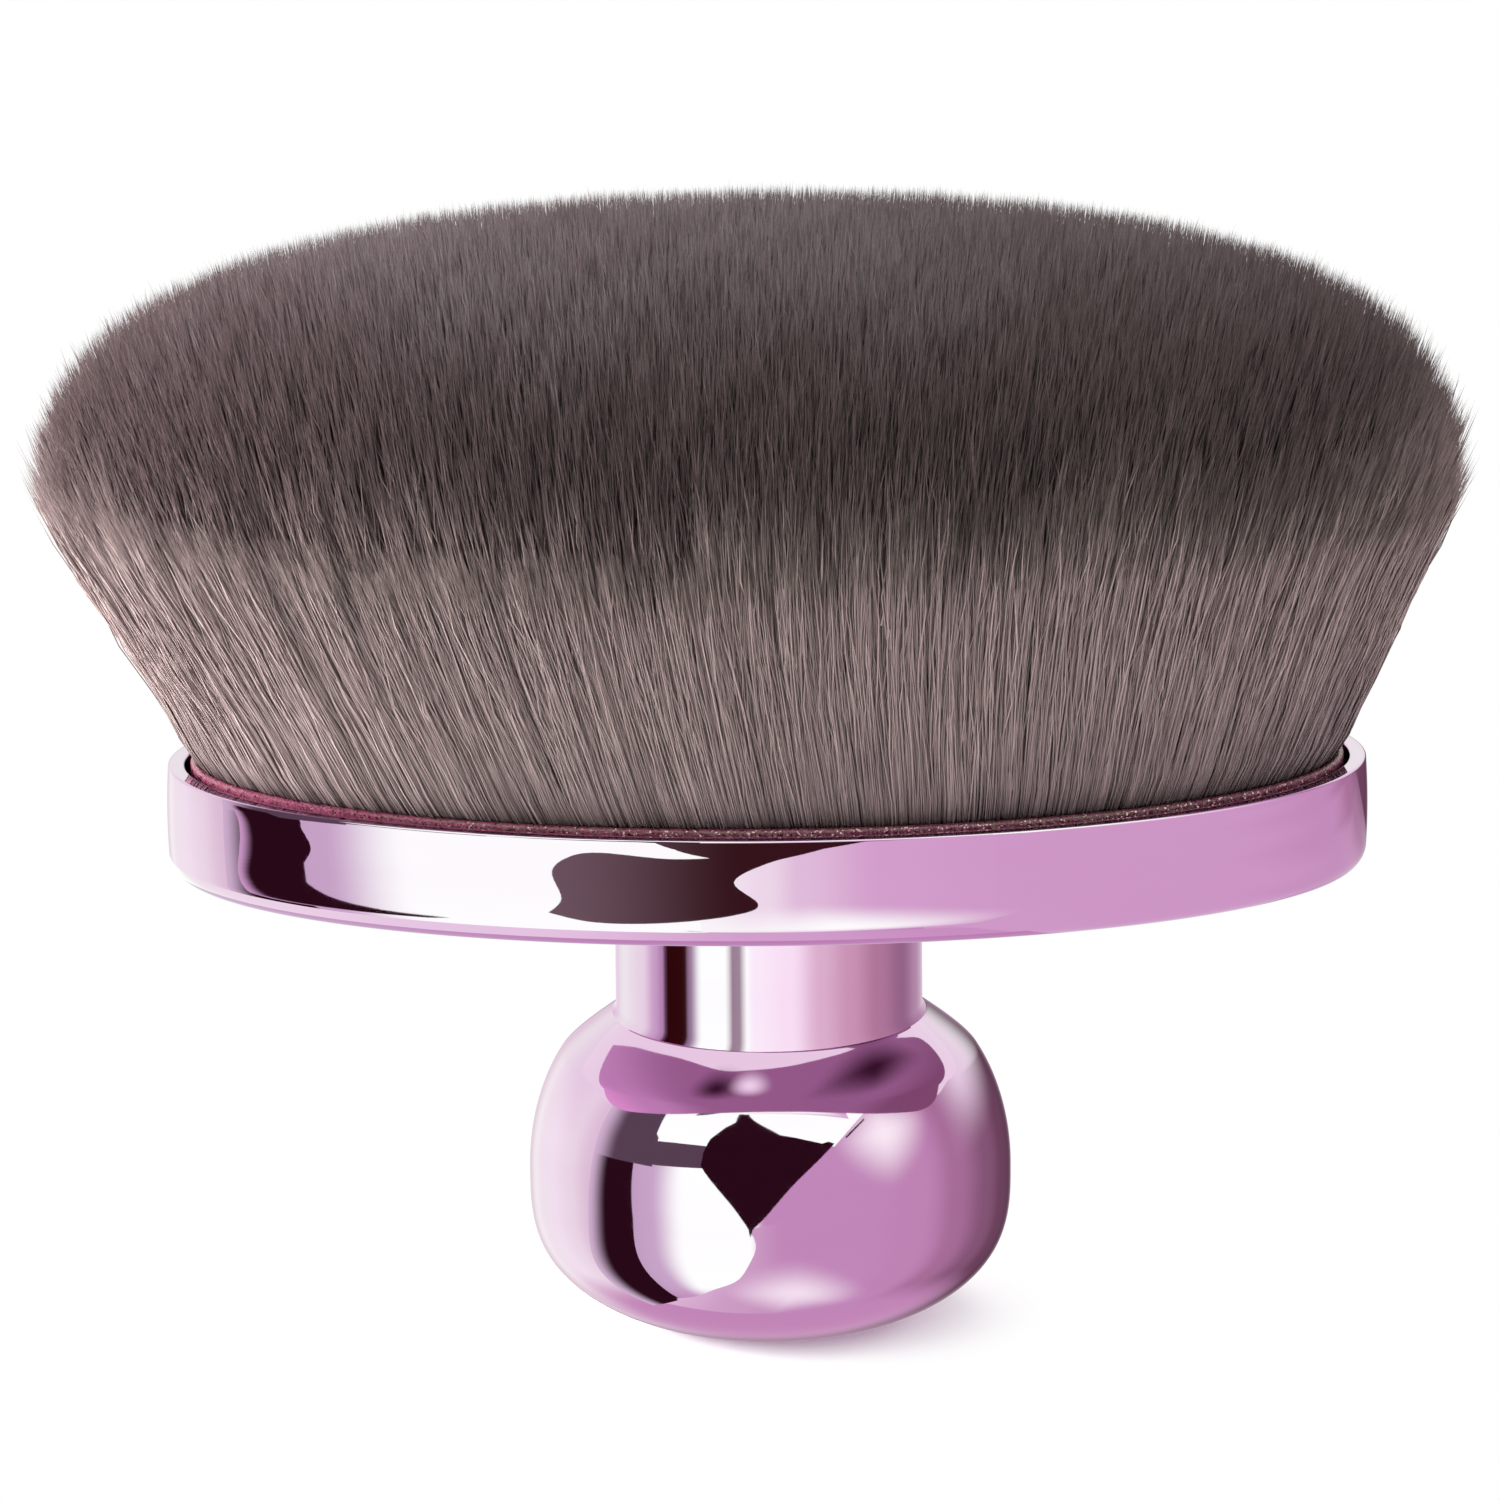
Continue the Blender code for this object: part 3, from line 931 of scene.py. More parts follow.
@dataclass
class TuftForm:
    """Form of the tuft: where each fibre runs from its root, and how high it is trimmed.

    Heights are above the roots. Reaches are half lengths of the tuft at those heights, at its
    -X end, at its +X end and at its two long sides. Between the ends the fibres are swept a
    little towards -X up to a height, and run straight on above it.
    """

    root_z: float = 29.4 * MM
    root_half_length: float = 29.4 * MM
    root_half_width: float = 14.25 * MM
    rises: tuple = (0.0, 1.35, 2.1, 5.3, 8.6, 11.9, 15.2, 16.9, 24.0, 31.0)
    left: tuple = (29.4, 30.25, 30.8, 32.4, 34.3, 36.1, 37.95, 38.7, 41.3, 43.4)
    right: tuple = (29.4, 30.25, 30.75, 32.15, 33.5, 34.85, 36.3, 37.1, 39.7, 41.8)
    side: tuple = (14.25, 15.1, 15.6, 16.9, 18.1, 19.2, 20.2, 20.65, 22.3, 23.7)
    widest: float = 16.4 * MM
    sweep: float = 2.9 * MM
    sweep_height: float = 23.0 * MM
    dome_rise: float = 14.2 * MM
    dome_fullness: float = 2.7
    dome_lean: float = 0.1
    full_height: float = 30.9 * MM
    dome_steps: int = 22
    dye_tilt: float = 0.055
    dye_waves: tuple = ((0.43, 0.25, 0.7), (0.97, -0.8, 0.6), (2.3, 1.1, 0.5), (5.3, -2.0, 0.5))

    def reach(self, rise: np.ndarray, halves: tuple) -> np.ndarray:
        """Reach of the tuft at a height above the roots, from its reaches at the known heights."""
        return np.interp(rise, np.array(self.rises) * MM, np.array(halves) * MM)

    def spot(self, x: np.ndarray, y: np.ndarray, rise: np.ndarray) -> tuple[np.ndarray, np.ndarray]:
        """Where the fibre rooted at x, y has got to at a height above its root.

        Args:
            x: Root's place along the head.
            y: Root's place across it.
            rise: Height above the root.

        Returns:
            Its place along and across the head at that height.
        """
        along = x / self.root_half_length
        across = y / self.root_half_width
        lean = 0.5 + 0.5 * along
        length = self.reach(rise, self.left) * (1.0 - lean) + self.reach(rise, self.right) * lean
        climb = np.sin(np.clip(rise / self.sweep_height, 0.0, 1.0) * math.pi / 2.0)
        swept = self.sweep * climb * (1.0 - along ** 2)
        return along * length - swept, across * self.reach(rise, self.side)

    def tip_rise(self, x: np.ndarray, y: np.ndarray) -> np.ndarray:
        """Height above its root at which a fibre meets the trimmed dome.

        Args:
            x: Root's place along the head.
            y: Root's place across it.

        Returns:
            The height, found by closing in on the dome.
        """
        left, right, side = (self.reach(self.widest, halves)
                             for halves in (self.left, self.right, self.side))
        rise = np.full_like(x, self.widest)
        for _ in range(self.dome_steps):
            at_x, at_y = self.spot(x, y, rise)
            half = np.where(at_x < 0.0, left, right)
            out = np.minimum(np.hypot(at_x / half, at_y / side), 1.0)
            fullness = self.dome_fullness + self.dome_lean * at_x / half
            dome = (1.0 - out ** fullness) ** (1.0 / fullness)
            rise = (rise + self.widest + self.dome_rise * dome) / 2.0
        return rise

    def dye_height(self, x: np.ndarray, y: np.ndarray, rise: np.ndarray) -> np.ndarray:
        """Height along a fibre, as the dye takes it.

        The dye reaches a little lower at the -X end, and its edge wanders from root to root.

        Args:
            x: Root's place along the head.
            y: Root's place across it.
            rise: Height above the root.

        Returns:
            The height as a share of the tuft's, from 0 to 1.
        """
        shifted = rise - self.dye_tilt * x
        for along, across, depth in self.dye_waves:
            shifted = shifted + depth * MM * np.sin((along * x + across * y) / MM)
        return np.clip(shifted / self.full_height, 0.0, 1.0)


class Quarter(Enum):
    """The four quarters that each coat of fibres is split into."""

    LEFT_FRONT = (-1, -1)
    RIGHT_FRONT = (1, -1)
    LEFT_BACK = (-1, 1)
    RIGHT_BACK = (1, 1)


@dataclass
class FibreCoat:
    """One coat of the tuft: many tapered fibres of the same make.

    Attributes:
        name: Name of the coat.
        count: Fibres in a quarter of the tuft.
        rings: Sections along a fibre.
        radius: Its radius below the taper.
        inner: How far in the coat reaches, as a share of the way out from the middle.
        outer: How far out.
        length: Length of the fibre that is made, down from its tip.
        seed: Seed of its random draws.
        taper: Length over which a fibre thins to its tip.
        stray: How far a fibre leans from its neighbours at full height.
        cross: How far a clump leans across the next at full height.
        sway: How far a fibre waves to and fro.
        tuck: How far a fibre is drawn towards the middle of its clump.
        ragged: How far tips fall short of the dome.
        uneven: How much higher one clump's tips stand than the next.
        clump: Width of a clump.
        tip_radius: Radius of a fibre's tip.
        thickness: Least and greatest thickness of a fibre, as shares of its radius.
        slimming: Power by which a fibre thins over its taper.
    """

    name: str
    count: int
    rings: int
    radius: float
    inner: float
    outer: float
    length: float
    seed: int
    taper: float = 4.5 * MM
    stray: float = 0.3 * MM
    cross: float = 0.1 * MM
    sway: float = 0.07 * MM
    tuck: float = 0.4
    ragged: float = 0.3 * MM
    uneven: float = 0.12 * MM
    clump: float = 0.9 * MM
    tip_radius: float = 0.006 * MM
    thickness: tuple = (0.75, 1.2)
    slimming: float = 0.6


@dataclass
class BristleTuft:
    """The tuft: a shaded core, a coat of long fibres round it and a coat of tips on the dome.

    Attributes:
        core_inset: Size of the core, as a share of the tuft's.
        core_drop: How far its top lies below the dome.
        core_lift: How far its underside lies above the roots.
        core_underside: Share of the way up its half round that is laid over the roots.
        core_flank: Share at which the flank ends and the dome starts.
        sway_turn: How many radians a fibre's sway turns through over the full height.
        sway_step: How many radians it starts ahead of the last fibre's.
        sway_gain: How many times faster than the height the sway grows to its full width.
        lean_power: Power of the height by which the lean grows.
        look_ahead: How far ahead on a fibre its direction is read.
    """

    form: TuftForm = field(default_factory=TuftForm)
    coats: tuple = (
        FibreCoat("tuft_side", 5700, 6, 0.042 * MM, 0.955, 1.0, 60.0 * MM, 11,
                  stray=0.7 * MM, cross=0.8 * MM, sway=0.2 * MM, taper=3.0 * MM, tuck=0.15,
                  ragged=0.6 * MM),
        FibreCoat("tuft_dome", 18500, 2, 0.05 * MM, 0.0, 0.985, 6.0 * MM, 23,
                  stray=0.5 * MM, sway=0.26 * MM, ragged=0.14 * MM, uneven=0.06 * MM,
                  taper=1.2 * MM, tuck=0.2),
    )
    core_inset: float = 0.955
    core_drop: float = 2.2 * MM
    core_lift: float = 0.3 * MM
    core_underside: float = 0.12
    core_flank: float = 0.4
    sway_turn: float = 16.0
    sway_step: float = 2.4
    sway_gain: float = 4.0
    lean_power: float = 1.5
    look_ahead: float = 0.2 * MM
    core_columns: int = 128
    core_levels: int = 48

    def build(self) -> list[bpy.types.Object]:
        """Makes the core and all the coats.

        Returns:
            The pieces.
        """
        pieces = [self.build_core()]
        for coat in self.coats:
            pieces += [self.build_coat(coat, quarter) for quarter in Quarter]
        return pieces

    def build_core(self) -> bpy.types.Object:
        """Makes the shaded core, which closes the view between the fibres.

        A sphere's points are laid onto the tuft's form: its lower part over the root face and
        the flank, and the rest over the dome.

        Returns:
            The piece.
        """
        shape = bmesh.new()
        bmesh.ops.create_uvsphere(shape, u_segments=self.core_columns,
                                  v_segments=self.core_levels, radius=1.0)
        bmesh.ops.recalc_face_normals(shape, faces=shape.faces)
        mesh = mesh_of("core", shape)
        place = read_points(mesh)
        level = np.arccos(np.clip(-place[:, 2], -1.0, 1.0)) / math.pi
        turn = np.arctan2(place[:, 1], place[:, 0])
        underside, flank = self.core_underside, self.core_flank
        out = np.clip(level / underside, 0.0, 1.0) * np.clip((1.0 - level) / (1.0 - flank), 0.0, 1.0)
        out = np.where(out < 1.0, np.sin(out * math.pi / 2.0), 1.0)
        climb = np.clip((level - underside) / (flank - underside), 0.0, 1.0)
        form = self.form
        x = out * np.cos(turn) * form.root_half_length
        y = out * np.sin(turn) * form.root_half_width
        top = form.tip_rise(x, y) - self.core_drop
        rise = self.core_lift + climb * (top - self.core_lift)
        at_x, at_y = form.spot(x, y, rise)
        inset = self.core_inset
        write_points(mesh, np.stack([at_x * inset, at_y * inset, form.root_z + rise], 1))
        corners = read_corners(mesh)
        turns = (turn[corners] / math.tau + 0.5) % 1.0
        write_map(mesh, np.stack([turns, form.dye_height(x, y, rise)[corners]], 1))
        mesh.shade_smooth()
        return finish_piece("tuft_core", mesh, CORE_FIBRE, "bristle_fibre", "bristle_tuft")

    def build_coat(self, coat: FibreCoat, quarter: Quarter) -> bpy.types.Object:
        """Makes a quarter of a coat.

        Args:
            coat: The coat.
            quarter: The quarter.

        Returns:
            The piece.
        """
        mesh, each = copied_fibres(coat.count, coat.rings)
        chance = np.random.default_rng([coat.seed, list(Quarter).index(quarter)])
        x, y = self.roots(coat, quarter, chance)
        local = read_points(mesh)
        fibre = np.arange(len(local)) // each
        share = local[:, 2] / coat.rings
        tip, sway, lean = self.habits(coat, x, y, chance)
        start = np.maximum(tip - coat.length, 0.0)
        rise = start[fibre] + (tip - start)[fibre] * share
        centre = self.centre_line(x, y, fibre, rise, sway, lean)
        ahead = self.centre_line(x, y, fibre, rise + self.look_ahead, sway, lean)
        forward = unit(ahead - centre)
        angle = chance.uniform(0.0, math.tau, coat.count)[fibre]
        across = np.stack([np.cos(angle), np.sin(angle), np.zeros_like(angle)], 1)
        across = unit(across - forward * (across * forward).sum(1, keepdims=True))
        beside = np.cross(forward, across)
        thick = chance.uniform(*coat.thickness, coat.count)[fibre] * coat.radius
        left = np.clip((tip[fibre] - rise) / coat.taper, 0.0, 1.0)
        thick = coat.tip_radius + (thick - coat.tip_radius) * left ** coat.slimming
        aside = across * local[:, :1] + beside * local[:, 1:2]
        write_points(mesh, centre + aside * thick[:, None])
        height = self.form.dye_height(x[fibre], y[fibre], rise)
        self.map_fibres(mesh, chance.permutation(coat.count)[fibre], height)
        mesh.shade_smooth()
        name = f"{coat.name}_{quarter.name.lower()}"
        return finish_piece(name, mesh, TUFT_FIBRE, "bristle_fibre", "bristle_tuft")

    def roots(self, coat: FibreCoat, quarter: Quarter,
              chance: np.random.Generator) -> tuple[np.ndarray, np.ndarray]:
        """Scatters the roots of a quarter of a coat, evenly over its ring.

        Args:
            coat: The coat.
            quarter: The quarter.
            chance: Source of random draws.

        Returns:
            Places of the roots along and across the head.
        """
        out = np.sqrt(chance.uniform(coat.inner ** 2, coat.outer ** 2, coat.count))
        turn = chance.uniform(0.0, math.pi / 2.0, coat.count)
        along, across = quarter.value
        return (out * np.cos(turn) * self.form.root_half_length * along,
                out * np.sin(turn) * self.form.root_half_width * across)

    def habits(self, coat: FibreCoat, x: np.ndarray, y: np.ndarray,
               chance: np.random.Generator) -> tuple[np.ndarray, np.ndarray, np.ndarray]:
        """Settles how each fibre differs from its neighbours.

        Args:
            coat: The coat.
            x: Places of the roots along the head.
            y: Places of the roots across it.
            chance: Source of random draws.

        Returns:
            Height of each tip, and the fibre's sway and lean at full height.
        """
        cell = np.stack([np.round(x / coat.clump), np.round(y / coat.clump)], 1)
        number = (cell[:, 0] * CLUMP_STEPS[0] + cell[:, 1] * CLUMP_STEPS[1]) % CLUMP_NUMBERS
        drift_x, drift_y, lift = (np.sin(number * wave) for wave in CLUMP_WAVES)
        drift = np.stack([drift_x, drift_y], 1)
        middle = (cell + CLUMP_DRIFT * drift) * coat.clump
        pull = coat.tuck * (middle - np.stack([x, y], 1)) + coat.cross * drift
        lean = pull + chance.normal(0.0, coat.stray, (coat.count, 2))
        sway = chance.normal(0.0, coat.sway, (coat.count, 2))
        tip = self.form.tip_rise(x, y)
        tip = tip - np.abs(chance.normal(0.0, coat.ragged, coat.count)) + coat.uneven * lift
        return tip, sway, lean

    def centre_line(self, x: np.ndarray, y: np.ndarray, fibre: np.ndarray, rise: np.ndarray,
                    sway: np.ndarray, lean: np.ndarray) -> np.ndarray:
        """Points on the centre lines of the fibres.

        Args:
            x: Places of the roots along the head.
            y: Places of the roots across it.
            fibre: Number of the fibre for each point.
            rise: Height above the roots for each point.
            sway: Waviness of each fibre.
            lean: Lean of each fibre.

        Returns:
            The points.
        """
        at_x, at_y = self.form.spot(x[fibre], y[fibre], rise)
        up = rise / self.form.full_height
        turn = up * self.sway_turn + fibre * self.sway_step
        wave = np.sin(turn)[:, None] * np.minimum(up * self.sway_gain, 1.0)[:, None]
        aside = lean[fibre] * (up ** self.lean_power)[:, None] + sway[fibre] * wave
        return np.stack([at_x + aside[:, 0], at_y + aside[:, 1], self.form.root_z + rise], 1)

    @staticmethod
    def map_fibres(mesh: bpy.types.Mesh, column: np.ndarray, height: np.ndarray) -> None:
        """Gives each fibre its own column of the map, with the dye's height along it.

        Args:
            mesh: Mesh of the coat.
            column: Number of the column for each vertex.
            height: Dye's height for each vertex.
        """
        corners = read_corners(mesh)
        side = np.tile(np.array(MAP_SIDES), len(corners) // 3 + 1)[: len(corners)]
        across = (column[corners] % MAP_COLUMNS + side) / MAP_COLUMNS
        write_map(mesh, np.stack([across, height[corners]], 1))


def read_points(mesh: bpy.types.Mesh) -> np.ndarray:
    """Reads the vertices of a mesh.

    Args:
        mesh: The mesh.

    Returns:
        Their places, one row each.
    """
    flat = np.empty(len(mesh.vertices) * 3, np.float32)
    mesh.vertices.foreach_get("co", flat)
    return flat.reshape(-1, 3).astype(float)


def write_points(mesh: bpy.types.Mesh, places: np.ndarray) -> None:
    """Moves the vertices of a mesh to new places."""
    mesh.vertices.foreach_set("co", places.astype(np.float32).ravel())


def unit(rows: np.ndarray) -> np.ndarray:
    """Scales each row to a length of 1."""
    return rows / np.linalg.norm(rows, axis=1, keepdims=True)


def read_corners(mesh: bpy.types.Mesh) -> np.ndarray:
    """Reads which vertex each face corner of a mesh lies on.

    Args:
        mesh: The mesh.

    Returns:
        Number of the vertex for each corner.
    """
    corners = np.empty(len(mesh.loops), np.int32)
    mesh.loops.foreach_get("vertex_index", corners)
    return corners


def write_map(mesh: bpy.types.Mesh, places: np.ndarray) -> None:
    """Gives a mesh its map, from the place of each face corner on it."""
    layer = mesh.uv_layers.new(name=MAP_NAME)
    layer.data.foreach_set("uv", places.astype(np.float32).ravel())


def copied_fibres(count: int, rings: int) -> tuple[bpy.types.Mesh, int]:
    """Makes one three-sided fibre and copies it, doubling until there are enough.

    A fibre stands on the origin with a radius of 1 and a ring at each whole height, and its
    last ring is drawn together into the tip.

    Args:
        count: Number of fibres.
        rings: Height of a fibre.

    Returns:
        The mesh, with the fibres one after another, and the number of vertices of each.
    """
    shape = bmesh.new()
    bmesh.ops.create_circle(shape, cap_ends=True, segments=3, radius=1.0)
    edges = shape.edges[:]
    for _ in range(rings):
        verts, edges = extruded(shape, edges)
        bmesh.ops.translate(shape, vec=(0.0, 0.0, 1.0), verts=verts)
    bmesh.ops.pointmerge(shape, verts=verts, merge_co=(0.0, 0.0, float(rings)))
    bmesh.ops.recalc_face_normals(shape, faces=shape.faces)
    each = [len(shape.verts), len(shape.edges), len(shape.faces)]
    made = 1
    while made < count:
        more = min(made, count - made)
        geometry = (shape.verts[: more * each[0]] + shape.edges[: more * each[1]]
                    + shape.faces[: more * each[2]])
        bmesh.ops.duplicate(shape, geom=geometry)
        made += more
    return mesh_of("fibres", shape), each[0]


# Pieces inside


@dataclass
class InnerPieces:
    """Pieces inside the handle and the head, which keep their own shape from the frame."""

    finishes: dict = field(default_factory=lambda: {
        "root_resin": SET_RESIN,
        "tray_screw": ZINC_STEEL,
        "threaded_insert": TURNED_BRASS,
        "weight_slug": ZINC_STEEL,
        "base_cap": CAP_PLASTIC,
    })

    def dress(self) -> None:
        """Gives each of them its finish."""
        for name, finish in self.finishes.items():
            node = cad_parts[name]
            node.data.materials.clear()
            node.data.materials.append(finish.material())
            log.info("%s: %s", name, finish.name)


# Studio


def heading(azimuth: float, elevation: float) -> Vector:
    """Direction at an azimuth and an elevation in degrees; azimuth 0 is in front, 90 right."""
    a, e = math.radians(azimuth), math.radians(elevation)
    return Vector((math.sin(a) * math.cos(e), -math.cos(a) * math.cos(e), math.sin(e)))


def smooth_line(corners: tuple, closed: bool = True, steps: int = 6) -> list[tuple]:
    """Runs a smooth line through a few corners.

    Args:
        corners: The corners in order. One given twice stays sharp.
        closed: True where the line runs back to its first corner.
        steps: Points for each stretch between corners.

    Returns:
        The points of the line.
    """
    around = [Vector((*corner, 0.0)) for corner in corners]
    line = []
    for place, start in enumerate(around):
        before = around[place - 1]
        end, after = (around[(place + ahead) % len(around)] for ahead in (1, 2))
        if start != end:
            out, back = start + (end - before) / 6.0, end - (after - start) / 6.0
            line += interpolate_bezier(start, out, back, end, steps + 1)[:-1]
    return [tuple(point.xy) for point in (line if closed else line[:1 - steps])]


def tone_ramp(graph: Graph, share: bpy.types.NodeSocket, stops: tuple) -> bpy.types.NodeSocket:
    """Runs a value through a row of colours.

    Args:
        graph: Graph to add to.
        share: The value, from 0 to 1.
        stops: Share and colour of each stop, in order.

    Returns:
        The colour.
    """
    node = graph.add("ShaderNodeValToRGB", {0: share})
    ramp = node.color_ramp
    ramp.interpolation = "EASE"
    ramp.elements.remove(ramp.elements[-1])
    ramp.elements[0].position = stops[0][0]
    ramp.elements[0].color = (*stops[0][1], 1.0)
    for place, tone in stops[1:]:
        ramp.elements.new(place).color = (*tone, 1.0)
    return node.outputs[0]


class Side(Enum):
    """Side from which a card is seen."""

    BOTH = "both"
    ABOVE = "above"
    BELOW = "below"


@dataclass(frozen=True)
class Card:
    """A reflector card, which only the brush's mirror surfaces show.

    Attributes:
        name: Name of the card.
        tones: Colours of its light across it, each with its share of the way.
        corners: Place of each corner, in the card's own two coordinates.
        far_corners: Where given, the card is a strip between a smooth line through its corners
            and one through these, and its tones run across it.
        bends: True where its outline runs smoothly through the corners.
        fades: True where its light fades from its middle to its edge.
        side: Side from which it is seen.
    """

    name: str
    tones: tuple
    corners: tuple
    far_corners: tuple = ()
    bends: bool = False
    fades: bool = False
    side: Side = Side.BOTH

    def spot(self, first: float, second: float) -> Vector:
        """Turns the card's own two coordinates into a point."""
        raise NotImplementedError

    def build(self) -> None:
        """Makes the card."""
        shape = bmesh.new()
        glow = shape.verts.layers.float.new("glow")
        shade = shape.verts.layers.float.new("shade")
        if self.far_corners:
            self.cut_strip(shape, shade)
        else:
            self.cut_sheet(shape, shade)
        for face in shape.faces:
            face.normal_update()
            if self.side is not Side.BOTH and (face.normal.z > 0.0) is (self.side is Side.BELOW):
                face.normal_flip()
        if self.fades:
            for middle in bmesh.ops.poke(shape, faces=shape.faces[:])["verts"]:
                middle[glow] = 1.0
        bmesh.ops.triangulate(shape, faces=shape.faces)
        hang_card(self.name, shape, self.light())

    def cut_sheet(self, shape: bmesh.types.BMesh, shade: bmesh.types.BMLayerItem) -> None:
        """Cuts the card as one sheet, shaded from left to right.

        Args:
            shape: Shape to add it to.
            shade: Layer for the share of the way.
        """
        outline = smooth_line(self.corners) if self.bends else self.corners
        verts = [shape.verts.new(self.spot(*corner)) for corner in outline]
        shape.faces.new(verts)
        places = [vert.co.x for vert in verts]
        for vert in verts:
            vert[shade] = (vert.co.x - min(places)) / (max(places) - min(places))

    def cut_strip(self, shape: bmesh.types.BMesh, shade: bmesh.types.BMLayerItem) -> None:
        """Cuts the card as a strip between two open lines, shaded from the one to the other.

        Args:
            shape: Shape to add it to.
            shade: Layer for the share of the way.
        """
        edges = []
        for share, ends in enumerate((self.corners, self.far_corners)):
            line = smooth_line((ends[0], *ends, ends[-1]), closed=False)
            verts = [shape.verts.new(self.spot(*place)) for place in line]
            for vert in verts:
                vert[shade] = float(share)
            edges.append(verts)
        for near, far in zip(zip(*edges), list(zip(*edges))[1:]):
            shape.faces.new((near[0], far[0], far[1], near[1]))

    def light(self) -> bpy.types.Material:
        """Makes the card's light: shaded across it, and fading out where it should.

        Returns:
            The material.
        """
        made, graph = card_material(self.name)
        along = graph.add("ShaderNodeAttribute", attribute_name="shade").outputs["Fac"]
        tone = tone_ramp(graph, along, self.tones)
        light = graph.add("ShaderNodeEmission", {"Color": tone}).outputs[0]
        if self.fades:
            clear = graph.add("ShaderNodeBsdfTransparent").outputs[0]
            glow = graph.add("ShaderNodeAttribute", attribute_name="glow").outputs["Fac"]
            light = graph.mix_light(graph.remap(glow, 0.0, 1.0), clear, light)
        if self.side is not Side.BOTH:
            light = one_sided(graph, light)
        graph.add("ShaderNodeOutputMaterial", {"Surface": light})
        return made


@dataclass(frozen=True)
class DomeCard(Card):
    """A card on a sphere round the brush, drawn in degrees of azimuth and elevation.

    Azimuth 0 is straight in front and grows to the right.

    Attributes:
        radius: Radius of the sphere.
        middle_z: Height of its centre.
    """

    radius: float = 100.0 * MM
    middle_z: float = 15.0 * MM

    def spot(self, first: float, second: float) -> Vector:
        """Point at an azimuth and an elevation."""
        return Vector((0.0, 0.0, self.middle_z)) + heading(first, second) * self.radius


@dataclass(frozen=True)
class Board(Card):
    """An upright flat card just in front of the tray, drawn in millimetres along it and up. The
    tray's front wall mirrors it, so it paints that wall's reflection.

    Attributes:
        y: Its place on the Y axis.
    """

    y: float = -20.0 * MM

    def spot(self, first: float, second: float) -> Vector:
        """Point at a distance along the board and at a height."""
        return Vector((first * MM, self.y, second * MM))


@dataclass(frozen=True)
class Mat(Card):
    """A card that lies just below the tray, drawn in millimetres along the head and across it. It
    paints a reflection: seen from below, the tray's underside as the knob mirrors it; seen from
    above, what the tray's foot mirrors.

    Attributes:
        z: Its height at the middle of the head.
        rise: How steeply it climbs away from there.
    """

    z: float = 23.4 * MM
    rise: float = 0.0

    def spot(self, first: float, second: float) -> Vector:
        """Point at a distance along the head and across it."""
        height = self.z + self.rise * math.hypot(first, second) * MM
        return Vector((first * MM, second * MM, height))


def oval(half_length: float, half_width: float, middle: tuple = (0.0, 0.0),
         count: int = 64) -> tuple:
    """Corners of an oval in millimetres.

    Args:
        half_length: Half of its length.
        half_width: Half of its width.
        middle: Its middle.
        count: Number of corners.

    Returns:
        The corners.
    """
    turns = [math.tau * step / count for step in range(count)]
    return tuple((middle[0] + half_length * math.cos(turn),
                  middle[1] + half_width * math.sin(turn)) for turn in turns)


@dataclass(frozen=True)
class Sleeve:
    """A card rolled close round the neck, which the neck alone mirrors, seen from its inside only: it
    paints the neck's reflection.

    Attributes:
        radius: Its radius.
        foot: Height of its lower edge.
        top: Height of its upper edge.
        tones: Colours of that painted reflection by azimuth in degrees, from behind on the left round
            the front.
        segments: Points round it.
    """

    radius: float = 8.35 * MM
    foot: float = 16.5 * MM
    top: float = 24.2 * MM
    tones: tuple = (
        (-180, (0.95, 0.90, 0.93)), (-89, (0.95, 0.95, 0.97)), (-70, (1.15, 1.90, 1.25)),
        (-57, (1.12, 1.80, 1.22)), (-49, (0.80, 0.95, 0.88)), (-45, (0.60, 0.62, 0.66)),
        (-43, (0.035, 0.006, 0.005)), (-34, (0.040, 0.008, 0.006)), (-31.5, (0.46, 0.58, 0.52)),
        (-26.5, (1.40, 2.90, 1.60)), (-16.2, (1.40, 2.90, 1.60)), (-14.5, (0.45, 0.62, 0.45)),
        (-10.8, (0.48, 0.70, 0.50)), (-8.9, (1.40, 2.90, 1.60)), (-6, (1.36, 2.40, 1.52)),
        (8, (1.33, 2.15, 1.44)), (20, (1.00, 1.23, 0.96)), (32.5, (0.82, 0.85, 0.74)),
        (46, (0.60, 0.53, 0.51)), (62, (0.41, 0.35, 0.38)), (75, (0.57, 0.54, 0.56)),
        (89, (0.75, 0.70, 0.73)), (180, (0.60, 0.52, 0.57)))
    segments: int = 96

    def build(self) -> None:
        """Makes the sleeve."""
        shape = bmesh.new()
        ring = bmesh.ops.create_circle(shape, segments=self.segments, radius=self.radius)["verts"]
        bmesh.ops.translate(shape, vec=(0.0, 0.0, self.foot), verts=ring)
        upper, _ = extruded(shape, shape.edges[:])
        bmesh.ops.translate(shape, vec=(0.0, 0.0, self.top - self.foot), verts=upper)
        bmesh.ops.recalc_face_normals(shape, faces=shape.faces)
        face = shape.faces[:][0]
        if face.normal.dot(face.calc_center_median().xy.to_3d()) > 0.0:
            bmesh.ops.reverse_faces(shape, faces=shape.faces)
        made, graph = card_material("sleeve")
        place = graph.add("ShaderNodeTexCoord").outputs["Object"]
        # Painted reflection: bands by azimuth that the neck shows almost as if printed on it.
        tone = tone_ramp(graph, turn_share(graph, place), by_degrees(self.tones))
        light = graph.add("ShaderNodeEmission", {"Color": tone}).outputs[0]
        graph.add("ShaderNodeOutputMaterial", {"Surface": one_sided(graph, light)})
        hang_card("sleeve", shape, made)


def turn_share(graph: Graph, place: bpy.types.NodeSocket) -> bpy.types.NodeSocket:
    """Azimuth of a place or direction, as a share of a full turn.

    Args:
        graph: Graph to add to.
        place: The place or direction.

    Returns:
        The share: 0 behind, 0.5 straight in front and 1 behind again, going from left to right.
    """
    parts = graph.add("ShaderNodeSeparateXYZ", {0: place})
    ahead = graph.math("MULTIPLY", parts.outputs[1], -1.0)
    azimuth = graph.math("ARCTAN2", parts.outputs[0], ahead)
    return graph.math("MULTIPLY_ADD", azimuth, 1.0 / math.tau, 0.5)


